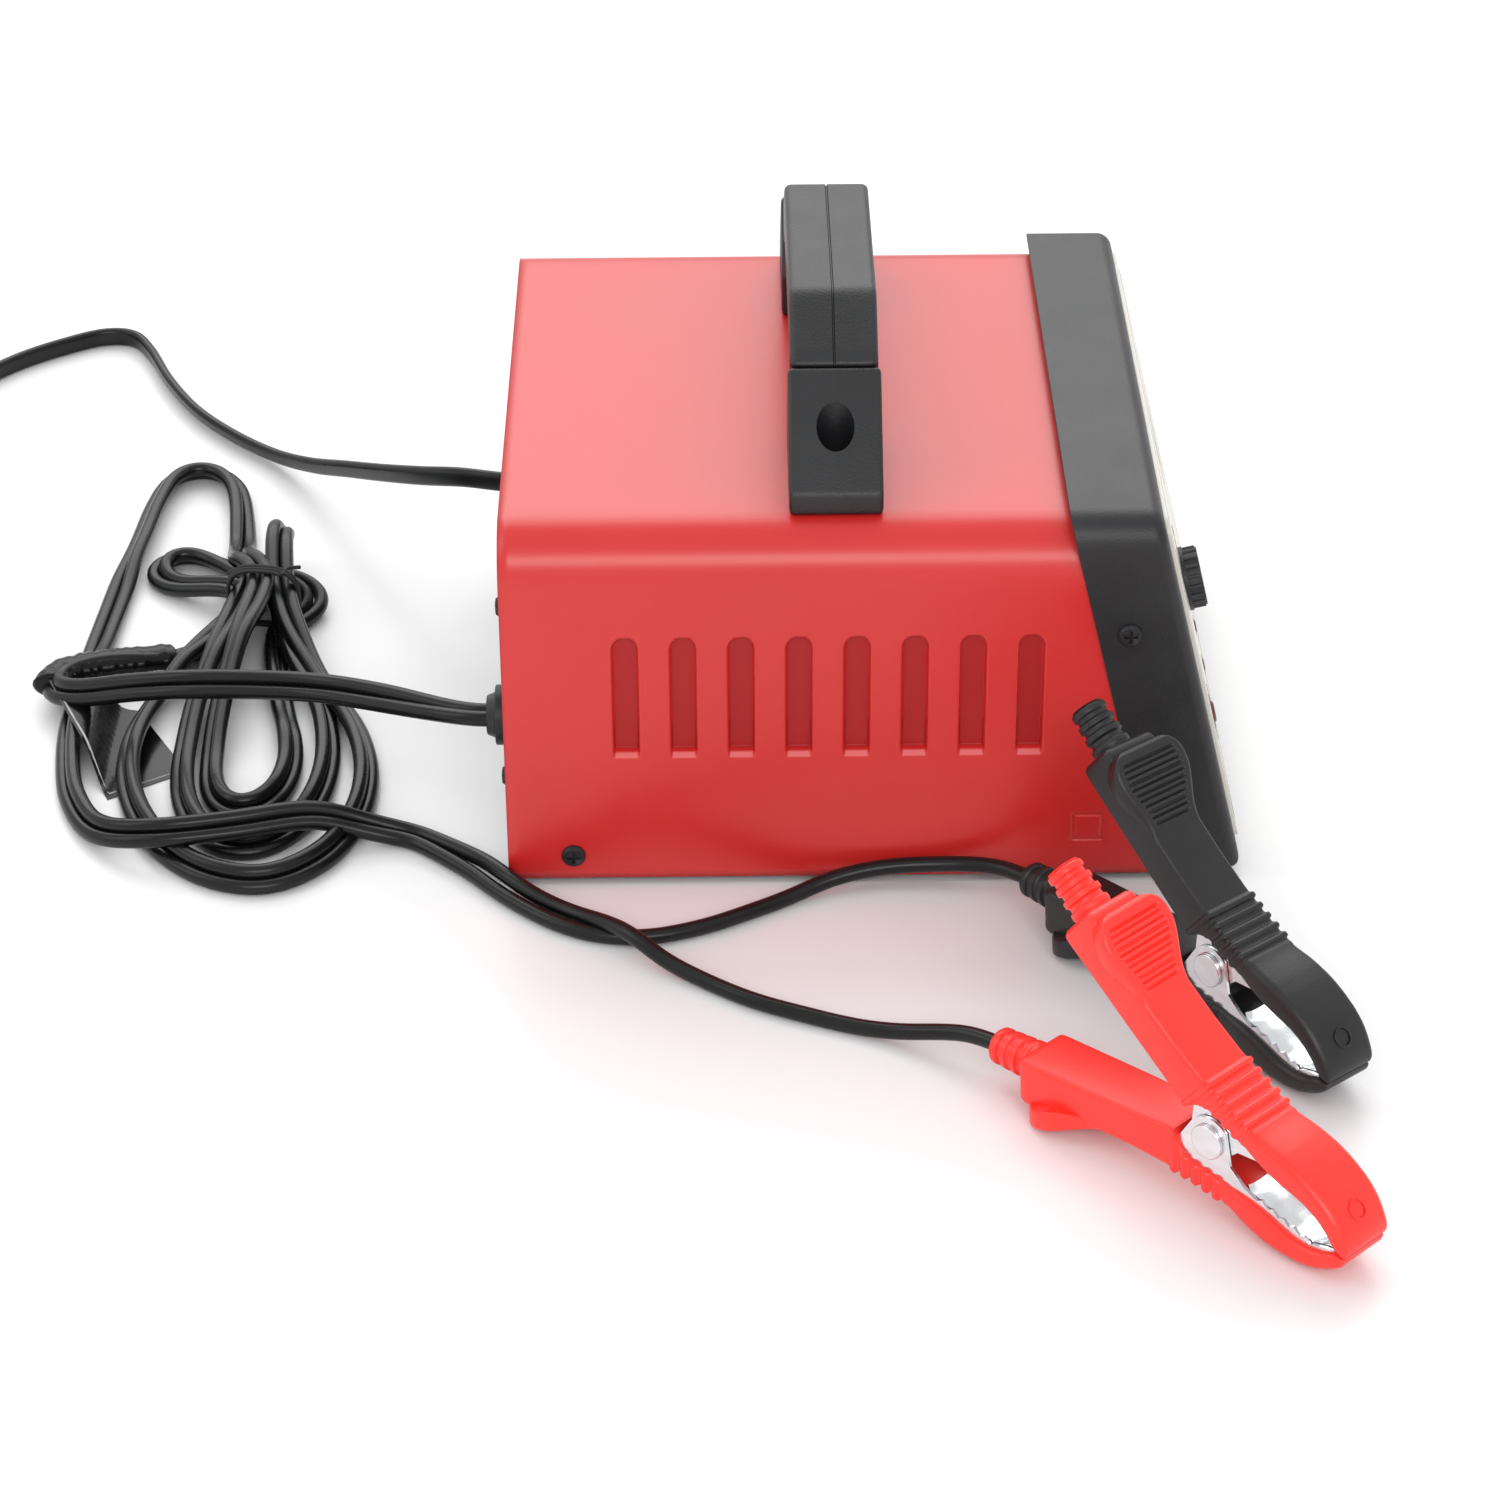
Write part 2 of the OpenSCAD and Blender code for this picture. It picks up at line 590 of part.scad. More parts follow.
// The closed outline of the lead's folded turns, wide at the near end and drawn in by the tie.
module hank_outline() {
    translate([0, -hank_l / 2 + hank_w / 2]) circle(hank_w / 2);
    polygon([[-hank_w / 2, -hank_l / 2 + hank_w / 2], [hank_w / 2, -hank_l / 2 + hank_w / 2],
             [hank_w / 2 - 2, -20], [tie_w / 2, tie_y], [tie_w / 2 + 5, hank_l / 2],
             [-tie_w / 2 - 5, hank_l / 2], [-tie_w / 2, tie_y], [-hank_w / 2 + 2, -20]]);
}
module dc_cord_hank() color(black) translate([hank_at[0], hank_at[1], 0]) linear_extrude(hank_h) hank_outline();

module dc_cord_tie() color("#101010") translate([hank_at[0], hank_at[1] + tie_y, 0]) difference() {
    translate([-tie_w / 2 - 1.6, -2, 0]) cube([tie_w + 3.2, 4, hank_h + 1.4]);
    translate([-tie_w / 2 - 0.4, -3, -1]) cube([tie_w + 0.8, 6, hank_h + 1.1]);
}

module cord_tag() color("#181818") translate([-284, -64, 0]) cube([tag_w, 60, 1]);

// ---- battery clamps ----

steel_t = 1.2;
ear_gap = 0.25;
lower_ear_y = clamp_w / 2 - 1.6;
upper_ear_y = lower_ear_y - steel_t - ear_gap;
tip_r = 51;
tip_a = clamp_angle / 2;
tip = tip_r * [cos(tip_a), sin(tip_a)];

// Side view of one grip: x towards the jaw, y away from the other grip.
grip_side = [
    [-75, 1], [-13, 1], [-9, 8], [5, 11.5], [12, 13], [22, 16], [31, 19.6], [39, 20.6],
    tip + [-0.3, 0.4], tip + [3.4, 2], tip + [2.6, 5.5], [44, 26], [35, 27.6], [22, 26],
    [12, 22.5], [4, 18.5], [-16, 15], [-42, 14], [-56, 15.5], [-75, 17]
];

// Side view of the wider thumb pad on the outside of a grip.
pad_side = [[-71.5, 13], [-71.5, 21], [-68, 21.7], [-52, 17.2], [-43, 14.2], [-47, 12]];
pad_w = 29;
boot_end = -92;

// Side view of one steel jaw, inside its grip, with the pivot ear at the origin.
jaw_side = concat(
    [[-34, 4], [-12, 3.5]],
    [for (a = [215 : 18 : 325]) 8 * [cos(a), sin(a)]],
    [[8, 6], [13, 10.6]],
    [for (i = [0 : 5]) each [[18 + 4 * i, 13.4 + 1.35 * i], [20 + 4 * i, 12.6 + 1.35 * i]]],
    [tip + [-3.6, 0.5], tip + [-0.6, 0.4], tip + [0.2, 3], [38, 23.6], [24, 22], [8, 15.5],
     [-14, 13.5], [-34, 11]]
);

// Places one clamp half: side +1 is the raised upper half, -1 the half on the floor.
module half_at(side) {
    turn = side > 0 ? clamp_angle - low_tilt : low_tilt;
    rotate([0, side * turn, 0]) scale_side(side) children();
}
module scale_side(side) {
    if (side > 0) children();
    else mirror([0, 0, 1]) children();
}

low_tilt = 4;
red_at = [102, -295];
red_turn = -45.5;
black_at = [112, -204.5];
black_turn = -50.5;

module clamp_at(at, turn) translate([at[0], at[1], rivet_z]) rotate([0, 0, turn]) children();

// An XZ outline of width w, centred on the clamp's middle plane.
module plate_y(w) rotate([90, 0, 0]) linear_extrude(w, center = true) children();

module grip_half_shell(colour) color(colour) difference() {
    union() {
        plate_y(clamp_w) polygon(grip_side);
        intersection() {
            plate_y(pad_w) polygon(pad_side);
            translate([-71.5, 0, -5]) linear_extrude(60) difference() {
                translate([17, 0]) soft_rect(34, pad_w, 9);
                both_sides() polygon([[10, pad_w / 2], [29, clamp_w / 2], [40, clamp_w / 2], [40, pad_w]]);
            }
        }
        translate([boot_end, 0, 7.6]) rotate([0, 90, 0]) rotate_extrude()
            polygon([[0, 0], [5.8, 0], [6.4, -boot_end - 74], [0, -boot_end - 74]]);
    }
    translate([-30, -clamp_w / 2 + 1.4, -10]) cube([54, clamp_w - 2.8, 21.6]);
    intersection() {
        plate_y(clamp_w - 2.8) polygon([for (p = grip_side) p + [-1, -3.2]]);
        translate([-32, -clamp_w, -10]) cube([83, 2 * clamp_w, 60]);
    }
    plate_y(clamp_w + 2) circle(r = 9.6);
}

module jaw_half(ear_y) color(steel) {
    for (s = [-1, 1]) translate([0, s * (ear_y - steel_t / 2), 0]) difference() {
        plate_y(steel_t) polygon(jaw_side);
        plate_y(steel_t + 2) circle(r = rivet_r + 0.05);
    }
    translate([-34, -ear_y + 0.4, 9.6]) cube([20, 2 * ear_y - 0.8, steel_t]);
    translate([26, -ear_y + 0.4, 20.8]) cube([11, 2 * ear_y - 0.8, steel_t]);
}

rivet_r = 2.6;
head_r = 5.7;
module clamp_rivet() color("#d9dde2") rotate([90, 0, 0]) {
    cylinder(r = rivet_r, h = 2 * lower_ear_y + 1, center = true);
    for (s = [0, 180]) rotate([s, 0, 0]) translate([0, 0, lower_ear_y]) cylinder(r = head_r, h = 1.5);
}

spring_r = 4.6;
module clamp_spring() color("#9a9ea3") {
    rotate([90, 0, 0]) for (i = [-2 : 2]) translate([0, 0, i * 2.4]) rotate_extrude()
        translate([spring_r, 0]) circle(r = 0.9, $fn = 16);
    rotate([90, 0, 0]) difference() {
        cylinder(r = spring_r + 0.2, h = 10, center = true);
        cylinder(r = spring_r - 0.5, h = 12, center = true);
    }
    translate([-24, -5.6, -6.2]) cube([24, 1.6, 1.6]);
}

module red_lower_grip() clamp_at(red_at, red_turn) half_at(-1) grip_half_shell("#e8322c");
module red_upper_grip() clamp_at(red_at, red_turn) half_at(1) grip_half_shell("#f03a32");
module red_lower_jaw() clamp_at(red_at, red_turn) half_at(-1) jaw_half(lower_ear_y);
module red_upper_jaw() clamp_at(red_at, red_turn) half_at(1) jaw_half(upper_ear_y);
module red_rivet() clamp_at(red_at, red_turn) clamp_rivet();
module red_spring() clamp_at(red_at, red_turn) clamp_spring();

module black_lower_grip() clamp_at(black_at, black_turn) half_at(-1) grip_half_shell("#242426");
module black_upper_grip() clamp_at(black_at, black_turn) half_at(1) grip_half_shell("#2a2a2c");
module black_lower_jaw() clamp_at(black_at, black_turn) half_at(-1) jaw_half(lower_ear_y);
module black_upper_jaw() clamp_at(black_at, black_turn) half_at(1) jaw_half(upper_ear_y);
module black_rivet() clamp_at(black_at, black_turn) clamp_rivet();
module black_spring() clamp_at(black_at, black_turn) clamp_spring();

// ---- mains cord ----

mains_t = mains_w / 2;
ac_route = [
    [-127, 85, 49], [-144, 95, 46], [-160, 112, 38], [-176, 132, 29], [-192, 153, 20], [-208, 174, 11],
    [-224, 194, 5], [-242, 213, 4], [-259, 235, 4], [-273, 262, 4], [-284, 290, 4], [-293, 305, 4],
    [-306, 307, 4], [-322, 298, 4], [-338, 285, 4], [-352, 268, 4], [-365, 250, 4]
];
plug_route = [[-408, 216, 11.7], [-418, 214, 10], [-428, 211, 7.8], [-435, 210, 7]];
coil_at = [-408, 262];
coil_mid = 42;
coil_half = 6.6;
coil_h = 15.6;

module ac_cord() color(black) {
    tube(ac_route, mains_t, mains_w, 8);
    tube(plug_route, mains_t, mains_w, 8);
}

module ac_coil() color(black) translate([coil_at[0], coil_at[1], 0]) rotate_extrude()
    translate([coil_mid - coil_half, 0]) square([2 * coil_half, coil_h]);

module ac_coil_tie() color("#101010") translate([coil_at[0] - coil_mid, coil_at[1], 0]) difference() {
    translate([-coil_half - 1.2, -2, 0]) cube([2 * coil_half + 2.4, 4, coil_h + 1.2]);
    translate([-coil_half - 0.2, -3, -1]) cube([2 * coil_half + 0.4, 6, coil_h + 1.1]);
}

plug_at = [-463, 210];
module ac_plug() color(black) translate([plug_at[0], plug_at[1], 0]) {
    translate([-12, -9, 0]) cube([24, 18, 14]);
    translate([12 - eps, 0, 7]) rotate([0, 90, 0]) rotate_extrude() polygon([[0, 0], [6.4, 0], [4.6, 16], [0, 16]]);
}

module plug_blades() color(steel) translate([plug_at[0] - 12, plug_at[1], 7])
    for (s = [-1, 1]) translate([-17, s * 6.35 - 0.75, -3.2]) cube([17 + 5, 1.5, 6.4]);

cover();
base_tray();
rear_panel();
front_bezel();
face_plate();
ammeter_case();
ammeter_dial();
ammeter_needle();
ammeter_lens();
selector_knob();
selector_shaft();
selector_switch();
indicator_leds();
breaker_body();
breaker_button();
handle_foot_near();
handle_foot_far();
handle_grip_front();
handle_grip_rear();
handle_screws();
transformer_core();
transformer_bobbin();
primary_winding();
secondary_winding();
transformer_frame();
transformer_bolts();
heat_sink();
rectifier_diodes();
circuit_board();
board_parts();
board_posts();
rubber_feet();
case_screws();
dc_bushing();
ac_bushing();
dc_cord_start();
dc_cord_hank();
dc_cord_run();
dc_cord_tie();
cord_tag();
red_lead();
black_lead();
red_lower_grip();
red_upper_grip();
red_lower_jaw();
red_upper_jaw();
red_rivet();
red_spring();
black_lower_grip();
black_upper_grip();
black_lower_jaw();
black_upper_jaw();
black_rivet();
black_spring();
ac_cord();
ac_coil();
ac_coil_tie();
ac_plug();
plug_blades();
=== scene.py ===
import json
import math

import bmesh
import bpy
import numpy as np
from mathutils import Matrix, Vector

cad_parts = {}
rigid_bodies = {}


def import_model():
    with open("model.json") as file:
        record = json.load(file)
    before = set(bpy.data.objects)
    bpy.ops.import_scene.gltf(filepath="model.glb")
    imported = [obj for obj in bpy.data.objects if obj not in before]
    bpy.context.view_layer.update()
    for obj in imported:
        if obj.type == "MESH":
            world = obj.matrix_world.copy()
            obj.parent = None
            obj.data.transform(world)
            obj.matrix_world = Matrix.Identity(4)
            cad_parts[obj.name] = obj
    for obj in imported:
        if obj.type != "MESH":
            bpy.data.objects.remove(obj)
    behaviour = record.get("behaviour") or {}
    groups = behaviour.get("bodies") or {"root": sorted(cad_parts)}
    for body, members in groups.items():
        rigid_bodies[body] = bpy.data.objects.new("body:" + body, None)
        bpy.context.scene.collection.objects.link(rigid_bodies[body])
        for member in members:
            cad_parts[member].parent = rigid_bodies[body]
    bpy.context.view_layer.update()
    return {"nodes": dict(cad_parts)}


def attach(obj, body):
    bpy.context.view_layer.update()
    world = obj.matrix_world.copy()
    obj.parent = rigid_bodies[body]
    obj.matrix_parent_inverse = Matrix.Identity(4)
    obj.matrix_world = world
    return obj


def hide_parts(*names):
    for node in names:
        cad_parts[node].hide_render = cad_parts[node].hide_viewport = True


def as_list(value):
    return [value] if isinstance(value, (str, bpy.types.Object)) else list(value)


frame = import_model()
NODES = frame["nodes"]
MM = 0.001

# ---------------------------------------------------------------- camera
CAMERA_AT = (-0.0465, -1.3394, 0.7879)
LENS_MM, SENSOR_MM, FAR_CLIP = 103.608, 36.0, 30.0
PITCH, YAW, ROLL = math.radians(31.0), math.radians(0.37), math.radians(-0.36)
forward = Vector((math.sin(YAW) * math.cos(PITCH), math.cos(YAW) * math.cos(PITCH), -math.sin(PITCH)))
right = Vector((math.cos(YAW), -math.sin(YAW), 0.0))
up = right.cross(forward)
right, up = (
    math.cos(ROLL) * right + math.sin(ROLL) * up,
    -math.sin(ROLL) * right + math.cos(ROLL) * up,
)
camera = bpy.data.objects.new("camera", bpy.data.cameras.new("camera"))
camera.data.lens = LENS_MM
camera.data.sensor_width = SENSOR_MM
camera.data.clip_end = FAR_CLIP
camera.matrix_world = Matrix.Translation(CAMERA_AT) @ Matrix(
    (
        (right.x, up.x, -forward.x),
        (right.y, up.y, -forward.y),
        (right.z, up.z, -forward.z),
    )
).to_4x4()
bpy.context.scene.collection.objects.link(camera)
bpy.context.scene.camera = camera


# ---------------------------------------------------------------- materials
MOTTLE_FROM, MOTTLE_TO = 0.3, 0.7
WORN_FROM, WORN_TO = 0.53, 0.62


def surface(
    name,
    colour,
    rough=0.5,
    metal=0.0,
    vary=0.15,
    scale=60.0,
    bump=0.1,
    grain=900.0,
    coat=0.0,
    coat_rough=0.1,
    rough_vary=0.12,
    wear=0.0,
    specular=0.5,
    ior=1.5,
    stretch=None,
    depth=0.0004,
):
    """A procedural finish: mottled colour, uneven gloss, fine grain and lighter worn edges."""
    m = bpy.data.materials.new(name)
    m.use_nodes = True
    tree = m.node_tree
    n, link = tree.nodes, tree.links.new
    shader = n["Principled BSDF"]
    shader.inputs["Metallic"].default_value = metal
    shader.inputs["IOR"].default_value = ior
    shader.inputs["Specular IOR Level"].default_value = specular
    shader.inputs["Coat Weight"].default_value = coat
    shader.inputs["Coat Roughness"].default_value = coat_rough
    where = n.new("ShaderNodeTexCoord")
    source = where.outputs["Object"]
    if stretch:
        mapping = n.new("ShaderNodeMapping")
        mapping.inputs["Scale"].default_value = stretch
        link(source, mapping.inputs["Vector"])
        source = mapping.outputs["Vector"]
    blotch = n.new("ShaderNodeTexNoise")
    blotch.inputs["Scale"].default_value = scale
    blotch.inputs["Detail"].default_value = 4.0
    link(source, blotch.inputs["Vector"])
    ramp = n.new("ShaderNodeValToRGB")
    dark = [c * (1 - vary) for c in colour]
    light = [min(1.0, c * (1 + vary) + 0.002) for c in colour]
    ramp.color_ramp.elements[0].position = MOTTLE_FROM
    ramp.color_ramp.elements[1].position = MOTTLE_TO
    ramp.color_ramp.elements[0].color = (*dark, 1)
    ramp.color_ramp.elements[1].color = (*light, 1)
    link(blotch.outputs["Fac"], ramp.inputs["Fac"])
    colour_out = ramp.outputs["Color"]
    if wear:
        geometry = n.new("ShaderNodeNewGeometry")
        edge = n.new("ShaderNodeMapRange")
        edge.inputs["From Min"].default_value = WORN_FROM
        edge.inputs["From Max"].default_value = WORN_TO
        edge.inputs["To Max"].default_value = wear
        link(geometry.outputs["Pointiness"], edge.inputs["Value"])
        mix = n.new("ShaderNodeMix")
        mix.data_type = "RGBA"
        mix.inputs["B"].default_value = (*[min(1.0, c * 1.6 + 0.04) for c in colour], 1)
        link(edge.outputs["Result"], mix.inputs["Factor"])
        link(colour_out, mix.inputs["A"])
        colour_out = mix.outputs["Result"]
    link(colour_out, shader.inputs["Base Color"])
    gloss = n.new("ShaderNodeMapRange")
    gloss.inputs["To Min"].default_value = max(0.02, rough - rough_vary)
    gloss.inputs["To Max"].default_value = min(1.0, rough + rough_vary)
    link(blotch.outputs["Fac"], gloss.inputs["Value"])
    link(gloss.outputs["Result"], shader.inputs["Roughness"])
    fine = n.new("ShaderNodeTexNoise")
    fine.inputs["Scale"].default_value = grain
    fine.inputs["Detail"].default_value = 3.0
    link(source, fine.inputs["Vector"])
    bumps = n.new("ShaderNodeBump")
    bumps.inputs["Strength"].default_value = bump
    bumps.inputs["Distance"].default_value = depth
    link(fine.outputs["Fac"], bumps.inputs["Height"])
    link(bumps.outputs["Normal"], shader.inputs["Normal"])
    return m


PAINT = surface("red_paint", (0.60, 0.017, 0.015), rough=0.36, vary=0.04, scale=9, bump=0.10, grain=1500,
                coat=0.25, coat_rough=0.22, rough_vary=0.04)
# A darker red for the deepest faces of the louvre recesses: painted shade standing in for the shade inside
# them.
PAINT_SHADED_RECESS = surface("red_paint_recess_painted_shade", (0.40, 0.009, 0.009), rough=0.4, vary=0.05, scale=9, bump=0.10,
                     grain=1500,
                     specular=0.35, rough_vary=0.04)
BLACK_PAINT = surface("black_paint", (0.018, 0.018, 0.02), rough=0.5, vary=0.2, scale=30, bump=0.25,
                      grain=1100, wear=0.25)
MOULD = surface("black_mould", (0.0095, 0.0100, 0.0115), rough=0.42, vary=0.16, scale=55, bump=0.32,
                grain=1700,
                wear=0.12, rough_vary=0.06)
HANDLE = surface("handle_mould", (0.0105, 0.011, 0.0125), rough=0.42, vary=0.18, scale=38, bump=0.42,
                 grain=1250,
                 wear=0.18, rough_vary=0.07)
CORD = surface("cord_vinyl", (0.005, 0.0053, 0.006), rough=0.28, vary=0.2, scale=40, bump=0.12, grain=700,
               rough_vary=0.08,
               specular=0.32)
RUBBER = surface("rubber", (0.012, 0.012, 0.013), rough=0.7, vary=0.2, scale=70, bump=0.35, grain=1500)
RED_GRIP = surface("red_vinyl", (0.93, 0.030, 0.019), rough=0.36, vary=0.05, scale=35, bump=0.16, grain=1500,
                   rough_vary=0.05, coat=0.08)
BLACK_GRIP = surface("black_vinyl", (0.009, 0.0094, 0.0105), rough=0.40, vary=0.12, scale=35, bump=0.2,
                     grain=1500,
                     rough_vary=0.06)
BRIGHT = surface("bright_steel", (0.78, 0.80, 0.82), rough=0.2, metal=1, vary=0.08, scale=90, bump=0.05,
                 grain=500,
                 rough_vary=0.1, stretch=(1, 1, 4))
STEEL = surface("dull_steel", (0.52, 0.53, 0.55), rough=0.38, metal=1, vary=0.15, scale=120, bump=0.12,
                grain=800)
SPRING = surface("spring_steel", (0.30, 0.31, 0.33), rough=0.3, metal=1, vary=0.15, scale=150, bump=0.1,
                 grain=800)
SCREW = surface("black_screw", (0.03, 0.03, 0.033), rough=0.36, metal=0.6, vary=0.3, scale=300, bump=0.2,
                grain=2500, wear=0.5)
BRASS = surface("blade_brass", (0.72, 0.56, 0.27), rough=0.26, metal=1, vary=0.12, scale=90, bump=0.08,
                grain=900)
PLATE = surface("cream_plate", (0.78, 0.75, 0.66), rough=0.35, vary=0.02, scale=20, bump=0.06, grain=900,
                coat=0.2)
CARD = surface("dial_card", (0.86, 0.85, 0.80), rough=0.6, vary=0.02, scale=40, bump=0.1, grain=1600)
INK = surface("printed_ink", (0.012, 0.012, 0.014), rough=0.5, vary=0.2, scale=200, bump=0.05, grain=2000)
METER = surface("meter_plastic", (0.02, 0.02, 0.022), rough=0.3, vary=0.15, scale=60, bump=0.1, grain=1200)
NEEDLE = surface("needle_red", (0.62, 0.02, 0.015), rough=0.35, vary=0.08, scale=200, bump=0.05, grain=1500)
LED = surface("led_red", (0.10, 0.008, 0.007), rough=0.12, vary=0.1, scale=300, bump=0.02, grain=900,
              coat=0.5)
BUTTON = surface("button_red", (0.16, 0.012, 0.011), rough=0.35, vary=0.1, scale=120, bump=0.12, grain=1500,
                 wear=0.2)
CORE = surface("core_steel", (0.16, 0.165, 0.175), rough=0.5, metal=0.8, vary=0.2, scale=14, bump=0.5,
               grain=40,
               stretch=(1, 30, 1))
BOBBIN = surface("bobbin_nylon", (0.70, 0.65, 0.50), rough=0.5, vary=0.06, scale=80, bump=0.1, grain=1200)
COPPER = surface("enamelled_copper", (0.62, 0.22, 0.07), rough=0.25, metal=0.9, vary=0.2, scale=20, bump=0.8,
                 grain=60,
                 stretch=(1, 1, 18), coat=0.3)
SINK = surface("heat_sink_aluminium", (0.62, 0.64, 0.66), rough=0.42, metal=1, vary=0.1, scale=60, bump=0.2,
               grain=500,
               stretch=(1, 12, 1))
BOARD = surface("board_green", (0.02, 0.13, 0.04), rough=0.3, vary=0.25, scale=300, bump=0.3, grain=500,
                coat=0.3)
CHIP = surface("board_black", (0.02, 0.021, 0.024), rough=0.4, vary=0.2, scale=120, bump=0.2, grain=1300)
TAG = surface("tag_film", (0.004, 0.004, 0.005), rough=0.2, vary=0.2, scale=50, bump=0.12, grain=120,
              specular=0.22,
              depth=0.0008)
TAG_EDGE = surface("tag_edge", (0.45, 0.45, 0.44), rough=0.4, vary=0.3, scale=120, bump=0.1, grain=700)

# A thin clear window, as haze and gloss on top of what lies behind it.
LENS_TINT, LENS_HAZE, LENS_IOR, LENS_SMEAR = (0.95, 0.97, 0.98, 1), 0.14, 1.49, 120
LENS = bpy.data.materials.new("meter_lens_clear")
LENS.use_nodes = True
lens_shader = LENS.node_tree.nodes["Principled BSDF"]
lens_shader.inputs["Base Color"].default_value = LENS_TINT
lens_shader.inputs["Alpha"].default_value = LENS_HAZE
lens_shader.inputs["IOR"].default_value = LENS_IOR
lens_noise = LENS.node_tree.nodes.new("ShaderNodeTexNoise")
lens_noise.inputs["Scale"].default_value = LENS_SMEAR
lens_gloss = LENS.node_tree.nodes.new("ShaderNodeMapRange")
lens_gloss.inputs["To Min"].default_value = 0.01
lens_gloss.inputs["To Max"].default_value = 0.05
LENS.node_tree.links.new(lens_noise.outputs["Fac"], lens_gloss.inputs["Value"])
LENS.node_tree.links.new(lens_gloss.outputs["Result"], lens_shader.inputs["Roughness"])


# ---------------------------------------------------------------- mesh helpers
def piece(name, verts, faces, material, body="charger", slot=None, sharp=None, stands_for=()):
    """A mesh piece from points in millimetres in the shared frame."""
    mesh = bpy.data.meshes.new(name)
    mesh.from_pydata([tuple(float(c) * MM for c in v) for v in verts], [], faces)
    mesh.validate()
    work = bmesh.new()
    work.from_mesh(mesh)
    bmesh.ops.recalc_face_normals(work, faces=work.faces)
    work.to_mesh(mesh)
    work.free()
    mesh.shade_smooth()
    if sharp is not None:
        mesh.set_sharp_from_angle(angle=math.radians(sharp))
    mesh.materials.append(material)
    obj = bpy.data.objects.new(name, mesh)
    bpy.context.scene.collection.objects.link(obj)
    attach(obj, body)
    if stands_for:
        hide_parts(*stands_for)
    return obj


def rings_to_faces(count, n, loop=False):
    """Quads between rings of n points each, closed by a cap at both ends or back on the first ring."""
    faces = []
    last = count if loop else count - 1
    for i in range(last):
        j = (i + 1) % count
        for a in range(n):
            b = (a + 1) % n
            faces.append((i * n + a, i * n + b, j * n + b, j * n + a))
    if not loop:
        faces.append(tuple(range(n - 1, -1, -1)))
        faces.append(tuple((count - 1) * n + a for a in range(n)))
    return faces


def eased(x):
    """0 below 0, 1 above 1 and a soft step between."""
    x = min(1.0, max(0.0, x))
    return x * x * (3 - 2 * x)


def smooth(points, step=2.0):
    """An even run of points along a smooth curve through the given ones."""
    p = np.array(points, float)
    p = np.vstack([2 * p[0] - p[1], p, 2 * p[-1] - p[-2]])
    fine = []
    for i in range(1, len(p) - 2):
        a, b, c, d = p[i - 1 : i + 3]
        for t in np.linspace(0, 1, max(3, int(np.linalg.norm(c - b))), endpoint=False):
            fine.append(0.5 * (2 * b + (c - a) * t + (2 * a - 5 * b + 4 * c - d) * t**2
                               + (3 * b - a - 3 * c + d) * t**3))
    fine.append(p[-2])
    fine = np.array(fine)
    run = np.concatenate([[0], np.cumsum(np.linalg.norm(np.diff(fine, axis=0), axis=1))])
    even = np.linspace(0, run[-1], max(3, int(run[-1] / step)) + 1)
    return np.stack([np.interp(even, run, fine[:, k]) for k in range(3)], 1)


def length_of(path):
    """The length of a line of points, in the points' own unit."""
    return float(np.linalg.norm(np.diff(path, axis=0), axis=1).sum())


def axes_along(path):
    """The direction of travel, the level side and the top at each point."""
    t = np.gradient(path, axis=0)
    t /= np.linalg.norm(t, axis=1)[:, None]
    side = np.cross(t, [0, 0, 1.0])
    side /= np.linalg.norm(side, axis=1)[:, None]
    return t, side, np.cross(side, t)


def sweep(path, outline, tilt=None, grow=None):
    """Rings of an outline (side, up) carried along a path, with an optional tilt and size at each point."""
    _, side, top = axes_along(path)
    rings = []
    for i, p in enumerate(path):
        w = 0.0 if tilt is None else tilt[i]
        g = 1.0 if grow is None else grow[i]
        for u, v in outline:
            x, y = u * math.cos(w) - v * math.sin(w), u * math.sin(w) + v * math.cos(w)
            rings.append(p + side[i] * x * g + top[i] * y * g)
    return rings, rings_to_faces(len(path), len(outline))


def circle(r, n=14):
    """The outline of a circle, anticlockwise."""
    return [(r * math.cos(2 * math.pi * a / n), r * math.sin(2 * math.pi * a / n)) for a in range(n)]


def soft_box(w, h, r, n=4):
    """A w by h outline with round corners, anticlockwise from the right."""
    out = []
    for cx, cy, start in ((w / 2 - r, h / 2 - r, 0), (-w / 2 + r, h / 2 - r, 90),
                          (-w / 2 + r, -h / 2 + r, 180), (w / 2 - r, -h / 2 + r, 270)):
        for k in range(n + 1):
            a = math.radians(start + 90 * k / n)
            out.append((cx + r * math.cos(a), cy + r * math.sin(a)))
    return out


# ---------------------------------------------------------------- clamp places
RIVET_Z = 27.1
UPPER_TILT, LOWER_TILT = 37.5, 4.0
CLAMPS = {"red": ((102, -295), -45.5, RED_GRIP), "black": ((112, -204.5), -50.5, BLACK_GRIP)}


def clamp_place(at, turn, side):
    """Maps p along a clamp half, q away from its partner and y across to the shared frame."""
    tilt, t = math.radians(UPPER_TILT if side > 0 else LOWER_TILT), math.radians(turn)

    def place(p, q, y):
        h = p * math.cos(tilt) + q * math.sin(tilt)
        z = RIVET_Z + side * (q * math.cos(tilt) - p * math.sin(tilt))
        return (at[0] + h * math.cos(t) - y * math.sin(t), at[1] + h * math.sin(t) + y * math.cos(t), z)

    return place


